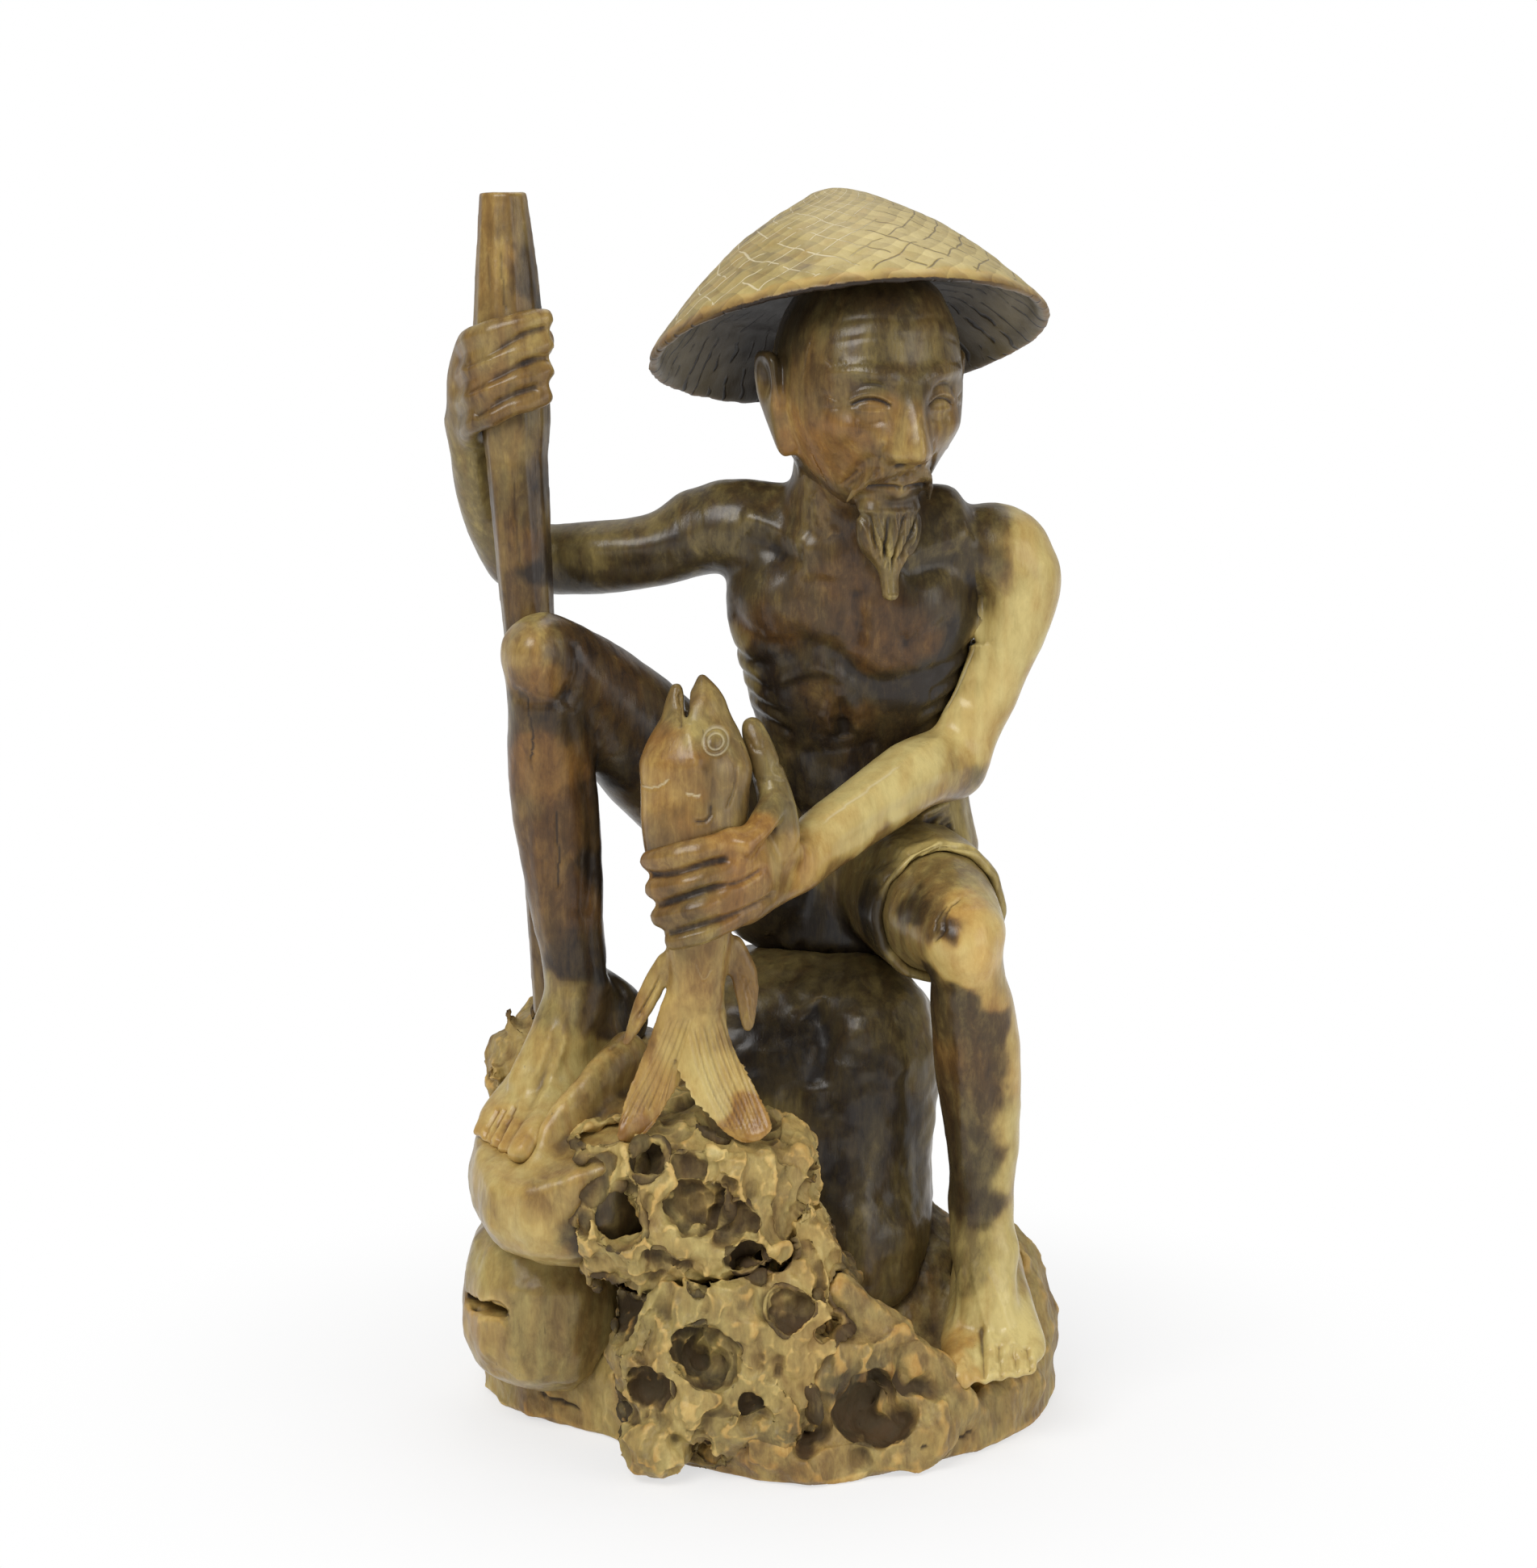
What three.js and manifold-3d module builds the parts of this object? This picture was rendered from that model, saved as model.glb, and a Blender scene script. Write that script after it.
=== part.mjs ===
// Carved wooden figure of a fisherman sitting on rocks, with a staff, a wide hat and his catch
// Millimetres. X runs to the viewer's right, Y to the back and Z up from the flat underside.

import * as THREE from 'three';
import { mergeVertices } from 'three/addons/utils/BufferGeometryUtils.js';
import Module from 'manifold-3d';

const wasm = await Module();
wasm.setup();

// Fit between neighbouring pieces
const jointGap = 0.3;

// Hat, a shallow cone with a curved brim
const hatRadius = 82;
const hatHeight = 65;
const hatWall = 4;
const hatCavityHeight = 33;
const hatTiltBack = 18;
const hatTiltSide = 7.3;

// Head
const headWidth = 75;
const headDepth = 90;
const headHeight = 108;
const headTurn = 24;
const headNod = 7;
const neckRadius = 26;

// Trunk
const chestHalfWidth = 52.5;
const waistHalfWidth = 34;
const hipHalfWidth = 41;
const chestDepth = 29;
const shoulderRadius = 20;

// Arms and hands
const upperArmRadius = 14.6;
const elbowRadius = 15.6;
const wristRadius = 10.4;
const fingerRadius = 5.5;

// Legs and feet
const thighRadius = 27;
const kneeRadius = 17;
const calfRadius = 17;
const ankleRadius = 13.6;
const footHalfWidth = 20;
const toeRadius = 3.6;

// Staff
const staffTopRadius = 9.2;
const staffGripRadius = 14;
const staffFootRadius = 7.6;

// Fish
const fishHalfHeight = 21;
const fishHalfThickness = 15;
const tailThickness = 4.4;

// Rocks
const baseRadius = 123;
const baseRimHeight = 15;
const pitRadius = 12;
const scoopCount = 30;
const scoopRadius = 13;
const toothWidth = 9;
const footSink = 2;

// Skeleton of the pose
const head = new THREE.Vector3(43, -18, 424);
const neckFoot = new THREE.Vector3(38, -4, 366);
const rightShoulder = new THREE.Vector3(-14, 9, 366);
const rightElbow = new THREE.Vector3(-98, 25, 351);
const rightWrist = new THREE.Vector3(-114.5, -9, 401);
const leftShoulder = new THREE.Vector3(105, 8, 357);
const leftElbow = new THREE.Vector3(81, 9, 268);
const leftWrist = new THREE.Vector3(13, -76, 240);
const chest = new THREE.Vector3(38, 7, 330);
const waist = new THREE.Vector3(40, 29, 250);
const rightHip = new THREE.Vector3(2, 26, 222);
const rightKnee = new THREE.Vector3(-85.5, -53, 322);
const rightAnkle = new THREE.Vector3(-72, -44, 182);
const rightHeel = new THREE.Vector3(-58, -18, 166);
const rightToes = new THREE.Vector3(-98, -66, 133);
const leftHip = new THREE.Vector3(58, 25, 216);
const leftKnee = new THREE.Vector3(80, -66, 210);
const leftAnkle = new THREE.Vector3(90.5, -43, 92);
const leftHeel = new THREE.Vector3(95, -15, 60);
const leftToes = new THREE.Vector3(95, -70, 38);
const staffTop = new THREE.Vector3(-100.6, -25, 500);
const staffGrip = new THREE.Vector3(-98.6, -25, 433);
const staffKnee = new THREE.Vector3(-93, -27, 345);
const staffFoot = new THREE.Vector3(-85, -16, 168);
const fishMouth = new THREE.Vector3(-24, -86, 313);
const fishGrip = new THREE.Vector3(-24, -93, 243);
const fishTail = new THREE.Vector3(-24, -92, 188);
const seatTop = new THREE.Vector3(18, 20, 186);
const outcropTop = new THREE.Vector3(-28, -88, 138);

const up = new THREE.Vector3(0, 0, 1);
const back = new THREE.Vector3(0, 1, 0);
const forward = new THREE.Vector3(0, -1, 0);
const rightward = new THREE.Vector3(1, 0, 0);

function degrees(angle) {
  return THREE.MathUtils.degToRad(angle);
}

function point(x, y, z) {
  return new THREE.Vector3(x, y, z);
}

function offset(origin, x, y, z) {
  return origin.clone().add(point(x, y, z));
}

// Point on the line between two joints, moved off it by the bend of the limb
function between(start, end, share, x = 0, y = 0, z = 0) {
  return start.clone().lerp(end, share).add(point(x, y, z));
}

function bump(value, centre, width) {
  return Math.exp(-(((value - centre) / width) ** 2));
}

// Closed surface over rings of points, each end closed by a fan to its middle
function skin(rings) {
  const count = rings[0].length;
  const positions = [];
  for (const ring of rings) {
    ring.forEach((vertex) => positions.push(vertex.x, vertex.y, vertex.z));
  }
  const ends = [rings[0], rings[rings.length - 1]];
  for (const ring of ends) {
    const middle = point(0, 0, 0);
    ring.forEach((vertex) => middle.addScaledVector(vertex, 1 / count));
    positions.push(middle.x, middle.y, middle.z);
  }
  const startPole = rings.length * count;
  const endPole = startPole + 1;
  const lastRing = (rings.length - 1) * count;
  const index = [];
  for (let j = 0; j < count; j += 1) {
    const next = (j + 1) % count;
    for (let i = 0; i < rings.length - 1; i += 1) {
      const low = i * count;
      const high = low + count;
      index.push(low + j, low + next, high + next);
      index.push(low + j, high + next, high + j);
    }
    index.push(startPole, next, j);
    index.push(endPole, lastRing + j, lastRing + next);
  }
  const geometry = new THREE.BufferGeometry();
  geometry.setAttribute('position', new THREE.Float32BufferAttribute(positions, 3));
  geometry.setIndex(index);
  return geometry;
}

// Limb with an oval section along a smooth line. A station is [middle, half width, front, back],
// where front is measured towards facing. Round ends reach past the line by their own length.
function limb(stations, options = {}) {
  const { facing = forward, sides = 12, steps = 12, grow = 0, ends = [0, 0], relief } = options;
  const line = new THREE.CatmullRomCurve3(stations.map((station) => station[0]));
  const radii = new THREE.CatmullRomCurve3(
    stations.map(([, side, front = side, rear = front]) => point(side, front, rear)),
    false,
    'catmullrom',
    0.5,
  );
  const rings = [];
  function addRing(share, shift, shrink) {
    const along = line.getTangent(share);
    const front = facing.clone().addScaledVector(along, -facing.dot(along)).normalize();
    const side = front.clone().cross(along);
    const middle = line.getPoint(share).addScaledVector(along, shift);
    const size = radii.getPoint(share);
    const ring = [];
    for (let j = 0; j < sides; j += 1) {
      const angle = (2 * Math.PI * j) / sides;
      const raised = grow + (relief ? relief(angle, share) : 0);
      const reach = Math.sin(angle) > 0 ? size.y : size.z;
      const vertex = middle.clone();
      vertex.addScaledVector(side, Math.cos(angle) * (size.x + raised) * shrink);
      vertex.addScaledVector(front, Math.sin(angle) * (reach + raised) * shrink);
      ring.push(vertex);
    }
    rings.push(ring);
  }
  const startLength = ends[0] + grow;
  const endLength = ends[1] + grow;
  const capAngles = sides > 8 ? [66, 33] : [45];
  for (const angle of capAngles) {
    if (ends[0] > 0) {
      addRing(0, -startLength * Math.sin(degrees(angle)), Math.cos(degrees(angle)));
    }
  }
  addRing(0, ends[0] > 0 ? 0 : -grow, 1);
  for (let i = 1; i < steps; i += 1) {
    addRing(i / steps, 0, 1);
  }
  addRing(1, ends[1] > 0 ? 0 : grow, 1);
  for (const angle of capAngles.slice().reverse()) {
    if (ends[1] > 0) {
      addRing(1, endLength * Math.sin(degrees(angle)), Math.cos(degrees(angle)));
    }
  }
  return skin(rings);
}

// Rounded lump. The shape callback returns how far a point of the unit sphere is moved out.
function lump(middle, size, options = {}) {
  const { segments = 20, rings = 14, grow = 0, shape } = options;
  const geometry = new THREE.SphereGeometry(1, segments, rings);
  geometry.rotateX(Math.PI / 2);
  const position = geometry.getAttribute('position');
  const direction = point(0, 0, 0);
  for (let i = 0; i < position.count; i += 1) {
    direction.fromBufferAttribute(position, i);
    const reach = 1 + (shape ? shape(direction) : 0);
    position.setXYZ(
      i,
      middle.x + direction.x * (size.x * reach + grow),
      middle.y + direction.y * (size.y * reach + grow),
      middle.z + direction.z * (size.z * reach + grow),
    );
  }
  return geometry;
}

// Solids for joining and cutting
function solid(geometry) {
  const bare = geometry.clone();
  bare.deleteAttribute('normal');
  bare.deleteAttribute('uv');
  const merged = mergeVertices(bare, 0.001);
  return new wasm.Manifold(new wasm.Mesh({
    numProp: 3,
    vertProperties: merged.getAttribute('position').array,
    triVerts: new Uint32Array(merged.getIndex().array),
  }));
}

function joined(...geometries) {
  return geometries.map(solid).reduce((whole, next) => whole.add(next));
}

// Everything on the far side of a plane, as a large block
function beyond(origin, direction, shift = 0) {
  const reach = 400;
  const block = new THREE.BoxGeometry(reach, reach, reach);
  block.translate(0, 0, reach / 2);
  const turn = new THREE.Quaternion().setFromUnitVectors(up, direction.clone().normalize());
  block.applyQuaternion(turn);
  const start = origin.clone().addScaledVector(direction.clone().normalize(), shift);
  block.translate(start.x, start.y, start.z);
  return solid(block);
}

function mesh(name, body, color, roughness) {
  const shape = body.getMesh();
  const geometry = new THREE.BufferGeometry();
  geometry.setAttribute('position', new THREE.BufferAttribute(shape.vertProperties, 3));
  geometry.setIndex(new THREE.BufferAttribute(shape.triVerts, 1));
  geometry.computeVertexNormals();
  const material = new THREE.MeshStandardMaterial({ color, roughness, metalness: 0 });
  const object = new THREE.Mesh(geometry, material);
  object.name = name;
  return object;
}

// Joint planes, where the head and the arms meet the trunk
const neckJoint = between(neckFoot, head, 0.42);
const neckAxis = head.clone().sub(neckFoot).normalize();
const rightJoint = between(rightShoulder, rightElbow, 0.04);
const rightJointAxis = rightElbow.clone().sub(rightShoulder).normalize();
const leftJoint = offset(leftShoulder, -16, 0, -3);
const leftJointAxis = point(0.95, 0, 0.3).normalize();

// Neck from the collar up into the skull, shared by the trunk and the head
function neck(grow) {
  return limb([
    [offset(neckFoot, 0, 4, -14), neckRadius * 1.35, neckRadius, neckRadius * 1.1],
    [offset(neckFoot, 0, 1, 6), neckRadius * 1.12, neckRadius * 0.9, neckRadius * 1.05],
    [neckJoint, neckRadius, neckRadius * 0.84, neckRadius],
    [offset(head, -1, 5, -14), neckRadius * 0.98, neckRadius * 0.8, neckRadius],
  ], { sides: 14, steps: 6, grow, facing: turned(forward) });
}

// Trunk: chest, belly and the yoke of the shoulders
function trunkRelief(angle, share) {
  const chestUp = bump(share, 0.74, 0.14);
  const pectorals = 3.2 * chestUp * (bump(angle, 0.95, 0.4) + bump(angle, 2.2, 0.4));
  const breastbone = -2 * bump(share, 0.68, 0.22) * bump(angle, Math.PI / 2, 0.2);
  const ribEdge = 2.6 * bump(share, 0.5, 0.08) * (bump(angle, 0.75, 0.5) + bump(angle, 2.4, 0.5));
  const belly = -3.4 * bump(share, 0.34, 0.14) * bump(angle, Math.PI / 2, 0.8);
  const spine = -3.6 * bump(share, 0.5, 0.36) * bump(angle, 1.5 * Math.PI, 0.2);
  const shoulderBlades = 4 * bump(share, 0.74, 0.13)
    * (bump(angle, 1.27 * Math.PI, 0.3) + bump(angle, 1.73 * Math.PI, 0.3));
  return pectorals + breastbone + ribEdge + belly + spine + shoulderBlades;
}

function trunk(grow) {
  const ribs = limb([
    [offset(waist, 0, 4, -24), hipHalfWidth * 0.9, chestDepth * 0.9, chestDepth * 0.95],
    [waist, waistHalfWidth, chestDepth * 0.76, chestDepth * 0.85],
    [between(waist, chest, 0.3), waistHalfWidth * 1.08, chestDepth * 0.83, chestDepth],
    [between(waist, chest, 0.65), chestHalfWidth * 0.86, chestDepth * 0.95, chestDepth * 1.1],
    [chest, chestHalfWidth, chestDepth, chestDepth * 1.14],
    [between(chest, neckFoot, 0.55), chestHalfWidth * 0.93, chestDepth * 0.88, chestDepth * 1.08],
    [between(chest, neckFoot, 1), chestHalfWidth * 0.55, chestDepth * 0.6, chestDepth * 0.95],
  ], { sides: 20, steps: 12, grow, relief: trunkRelief, ends: [0, 8] });
  const yoke = limb([
    [between(rightShoulder, rightElbow, 0.12), shoulderRadius * 0.96, shoulderRadius * 0.96],
    [rightShoulder, shoulderRadius, shoulderRadius * 0.96],
    [between(rightShoulder, neckFoot, 0.5, 0, 0, -3), shoulderRadius * 1.05, shoulderRadius * 0.92],
    [offset(neckFoot, 0, 2, -6), shoulderRadius * 1.1, shoulderRadius],
    [between(leftShoulder, neckFoot, 0.5, 0, 0, 2), shoulderRadius * 1.05, shoulderRadius * 0.92],
    [offset(leftShoulder, -14, 0, 1), shoulderRadius * 0.96, shoulderRadius * 0.96],
    [offset(leftShoulder, 0, 0, -4), shoulderRadius * 0.9, shoulderRadius * 0.9],
  ], { sides: 12, steps: 9, grow, ends: [0, 0] });
  return joined(ribs, yoke, neck(grow))
    .subtract(beyond(neckJoint, neckAxis, (grow - jointGap) / 2))
    .subtract(beyond(rightJoint, rightJointAxis, (grow - jointGap) / 2))
    .subtract(beyond(leftJoint, leftJointAxis, (grow - jointGap) / 2));
}

// Directions of the head: it is turned to one side and nods forward
function turned(direction) {
  return direction.clone().applyAxisAngle(up, degrees(headTurn));
}

const headSide = turned(rightward);
const headFront = turned(forward).applyAxisAngle(headSide, degrees(headNod));
const headUp = headSide.clone().cross(headFront).negate();

// Point of the head from its side, front and height
function onHead(side, front, height) {
  return head.clone()
    .addScaledVector(headSide, side)
    .addScaledVector(headFront, front)
    .addScaledVector(headUp, height);
}

// Relief of the face at a side and height, both as shares of half the head's size
function faceRelief(side, height) {
  const mirrored = Math.abs(side);
  const nose = 15 * bump(side, 0, 0.15 + 0.1 * bump(height, -0.36, 0.14))
    * THREE.MathUtils.smoothstep(0.12 - height, 0, 0.42) * THREE.MathUtils.smoothstep(height, -0.5, -0.4);
  const bridge = 4 * bump(side, 0, 0.16) * bump(height, 0.02, 0.14);
  const brow = 3.6 * bump(height, 0.16, 0.09) * bump(mirrored, 0.36, 0.3);
  const sockets = -6.2 * bump(height, -0.02, 0.11) * bump(mirrored, 0.42, 0.2);
  const lids = 3.2 * bump(height, -0.05, 0.06) * bump(mirrored, 0.42, 0.13);
  const cheekbones = 3 * bump(height, -0.2, 0.12) * bump(mirrored, 0.66, 0.2);
  const hollows = -2.6 * bump(height, -0.5, 0.16) * bump(mirrored, 0.6, 0.2);
  const lips = 4.2 * bump(side, 0, 0.26) * (bump(height, -0.575, 0.04) + bump(height, -0.665, 0.045));
  const mouthLine = -1.6 * bump(side, 0, 0.3) * bump(height, -0.62, 0.025);
  const chin = 5 * bump(side, 0, 0.28) * bump(height, -0.88, 0.12);
  const forehead = -1.5 * bump(height, 0.3, 0.12) * bump(mirrored, 0.2, 0.3);
  return nose + bridge + brow + sockets + lids + cheekbones + hollows + lips + mouthLine + chin + forehead;
}

// Skull and face over a grid that is closer where the face is
function skull(grow) {
  const columns = 24;
  const faceRows = 22;
  const crownRows = 3;
  const browLine = 0.5;
  const rings = [];
  for (let i = 0; i < faceRows + crownRows; i += 1) {
    const height = i < faceRows
      ? -0.99 + ((browLine + 0.99) * i) / faceRows
      : browLine + ((0.96 - browLine) * (i - faceRows)) / (crownRows - 1);
    const ring = [];
    for (let j = 0; j < columns; j += 1) {
      const turn = (2 * j) / columns - 1;
      const longitude = Math.PI * (0.42 * turn + 0.58 * turn ** 3);
      const round = Math.sqrt(1 - height ** 2) ** (height > 0 ? 0.9 : 0.7);
      const jaw = 1 - 0.32 * THREE.MathUtils.smoothstep(-height, 0.15, 1);
      const facing = Math.max(Math.cos(longitude), 0);
      const behind = Math.cos(longitude) < 0 ? 1 : 0;
      const nape = 1 - 0.36 * behind * THREE.MathUtils.smoothstep(-height, 0, 0.8);
      const width = (headWidth / 2 + grow) * round * jaw;
      const depth = (headDepth / 2 + grow) * round * nape * (1 - 0.1 * facing);
      const side = Math.sin(longitude) * width;
      const relief = faceRelief(side / (headWidth / 2), height) * facing ** 1.5;
      const front = Math.cos(longitude) * depth + relief;
      ring.push(onHead(side, front, (height * headHeight) / 2));
    }
    rings.push(ring);
  }
  return skin(rings);
}

// Ear: a leaning oval dish with a raised rim and a lobe
function ear(mirror, grow) {
  const shell = limb([
    [onHead(mirror * (headWidth / 2 - 3), 2, -24), 4.4, 3.2, 5],
    [onHead(mirror * (headWidth / 2 + 0.5), -1, -14), 6.5, 2.6, 5],
    [onHead(mirror * (headWidth / 2 + 4), -5, 0), 9.5, 2.2, 5],
    [onHead(mirror * (headWidth / 2 + 5), -6, 11), 8.5, 2.2, 5],
  ], { facing: headSide.clone().multiplyScalar(mirror), sides: 8, steps: 5, grow, ends: [4, 4] });
  const hollow = lump(onHead(mirror * (headWidth / 2 + 8), -3, 2), point(5.5, 6, 10), {
    segments: 8,
    rings: 6,
    grow: -grow,
  });
  return solid(shell).subtract(solid(hollow));
}

// Goatee that hangs in a point on the chest, and a moustache with drooping ends
function beard(grow) {
  const goatee = limb([
    [onHead(0, 27, -42), 14, 8, 10],
    [onHead(0, 28, -53), 14.5, 9, 12],
    [onHead(0, 29, -60), 12.5, 8, 10],
    [onHead(0, 30, -66), 6.4, 5.5, 6],
    [onHead(0, 31, -71), 3.9, 3.6, 4],
    [onHead(0, 33, -78), 3.7, 3.3, 3.8],
  ], { facing: headFront, sides: 8, steps: 9, grow, ends: [6, 3] });
  const whiskers = [-1, 1].map((mirror) => limb([
    [onHead(mirror * 2, 40, -26), 2.6],
    [onHead(mirror * 9, 38, -28), 3],
    [onHead(mirror * 15, 32, -33), 2.4],
    [onHead(mirror * 18, 26, -41), 1.6],
  ], { facing: headUp, sides: 5, steps: 4, grow, ends: [1.5, 1.5] }));
  return joined(goatee, ...whiskers);
}

function headForm(grow) {
  return solid(neck(grow))
    .intersect(beyond(neckJoint, neckAxis, (jointGap - grow) / 2))
    .add(solid(skull(grow)))
    .add(beard(grow))
    .add(ear(-1, grow))
    .add(ear(1, grow));
}

// Hat: the brim's edge and a high hollow crown, revolved and then tilted
function hat(grow) {
  const wall = hatWall + grow;
  const outer = [
    [0, hatHeight + grow],
    [hatRadius * 0.12, hatHeight * 0.975 + grow],
    [hatRadius * 0.31, hatHeight * 0.84 + grow],
    [hatRadius * 0.52, hatHeight * 0.66 + grow],
    [hatRadius * 0.68, hatHeight * 0.48 + grow],
    [hatRadius * 0.82, hatHeight * 0.3 + grow],
    [hatRadius * 0.95, hatHeight * 0.12 + grow],
    [hatRadius + grow, 1],
  ];
  const inner = [
    [hatRadius + grow, -grow],
    [hatRadius - wall * 0.75, -grow],
    [hatRadius * 0.9, hatHeight * 0.18 - wall],
    [hatRadius * 0.7, hatHeight * 0.42 - wall],
    [hatRadius * 0.45, hatCavityHeight * 0.8 - grow],
    [hatRadius * 0.22, hatCavityHeight - grow],
    [0, hatCavityHeight - grow],
  ];
  const profile = outer.concat(inner).map(([radius, height]) => new THREE.Vector2(radius, height));
  const cone = new THREE.LatheGeometry(profile.reverse(), 32);
  cone.rotateX(Math.PI / 2);
  cone.rotateX(degrees(-hatTiltBack));
  cone.rotateY(degrees(-hatTiltSide));
  const brim = offset(head, -6, 23, 15.6);
  cone.translate(brim.x, brim.y, brim.z);
  return solid(cone);
}

// Finger bent round an upright axis, thicker at its knuckles. Angles run from +X towards -Y.
function bentFinger({ middle, reachX, reachY, from, to, rise, radius, grow }) {
  const shares = [0, 0.25, 0.5, 0.75, 1];
  const widths = [1.08, 0.94, 1.04, 0.9, 0.86];
  const stations = shares.map((share, i) => {
    const angle = degrees(from + (to - from) * share);
    const x = Math.cos(angle) * reachX;
    const y = -Math.sin(angle) * reachY;
    return [offset(middle, x, y, rise * share), radius * widths[i]];
  });
  return limb(stations, { facing: up, sides: 6, steps: 5, grow, ends: [radius, radius * 0.9] });
}

// Right arm: held out level, bent up at the elbow, with the hand closed round the staff
const gripReach = staffGripRadius + fingerRadius * 0.62;

function rightFingers(grow) {
  const heights = [[5, 13.5], [-7, 15.5], [-18.5, 16.5], [-29, 17]];
  return heights.map(([height, rise], i) => bentFinger({
    middle: offset(staffGrip, 0.4, 0, height),
    reachX: gripReach,
    reachY: gripReach,
    from: 202,
    to: 52,
    rise,
    radius: fingerRadius * (i === 3 ? 0.9 : 1),
    grow,
  }));
}

function rightArm(grow) {
  const upperArm = limb([
    [offset(rightShoulder, 8, 0, 0), shoulderRadius, shoulderRadius * 0.96],
    [between(rightShoulder, rightElbow, 0.12, 0, 0, -0.5), shoulderRadius * 0.95, shoulderRadius * 0.94],
    [between(rightShoulder, rightElbow, 0.25, 0, -2, -4), upperArmRadius * 1.1, upperArmRadius * 1.1],
    [between(rightShoulder, rightElbow, 0.42, 0, -4, -5), upperArmRadius, upperArmRadius * 1.03],
    [between(rightShoulder, rightElbow, 0.65, 0, -3, -4), upperArmRadius * 1.05, upperArmRadius * 1.05],
    [rightElbow, elbowRadius * 0.97, elbowRadius * 0.9],
  ], { facing: up, sides: 11, steps: 9, grow, ends: [0, elbowRadius * 0.8] });
  const forearm = limb([
    [offset(rightElbow, -1, 1, 0), elbowRadius * 0.95, elbowRadius],
    [between(rightElbow, rightWrist, 0.3, -3, -1, 0), elbowRadius * 0.9, elbowRadius * 0.94],
    [between(rightElbow, rightWrist, 0.65, -3, 0, 0), wristRadius * 1.18, wristRadius * 1.24],
    [rightWrist, wristRadius, wristRadius * 0.95],
    [offset(rightWrist, -2, -2, 12), wristRadius * 1.05, wristRadius * 0.85],
  ], { facing: back, sides: 10, steps: 6, grow, ends: [elbowRadius * 0.7, 3] });
  const palm = limb([
    [offset(rightWrist, -2, -3, 6), wristRadius, wristRadius * 0.75],
    [offset(rightWrist, -3.5, -4, 18), wristRadius * 1.3, wristRadius * 0.72],
    [offset(rightWrist, -2, -5, 30), wristRadius * 1.35, wristRadius * 0.72],
    [offset(rightWrist, 1, -5, 41), wristRadius * 1.1, wristRadius * 0.65],
  ], { facing: rightward, sides: 9, steps: 5, grow, ends: [0, 5] });
  const thumb = bentFinger({
    middle: offset(staffGrip, 0, 0, -4),
    reachX: gripReach + 0.5,
    reachY: gripReach + 1,
    from: 215,
    to: 338,
    rise: 14,
    radius: fingerRadius * 1.1,
    grow,
  });
  return solid(upperArm)
    .intersect(beyond(rightJoint, rightJointAxis, (jointGap - grow) / 2))
    .add(joined(forearm, palm, thumb, ...rightFingers(grow)));
}

// Left arm: hangs from the shoulder, crosses the thigh and holds the fish below its gills
const holdReachX = fishHalfHeight * 0.82 + fingerRadius * 0.3;
const holdReachY = fishHalfThickness * 0.94 + fingerRadius * 0.5;

function leftFingers(grow) {
  const spans = [
    { height: 12.5, rise: -9, from: 42, to: 156 },
    { height: 2.5, rise: -9.5, from: 38, to: 145 },
    { height: -7.5, rise: -10, from: 38, to: 134 },
    { height: -18, rise: -8.5, from: 38, to: 116 },
  ];
  return spans.map(({ height, rise, from, to }, i) => bentFinger({
    middle: offset(fishGrip, 0, 0, height),
    reachX: holdReachX,
    reachY: holdReachY,
    from,
    to,
    rise,
    radius: fingerRadius * (i === 3 ? 0.86 : 1),
    grow,
  }));
}

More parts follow.
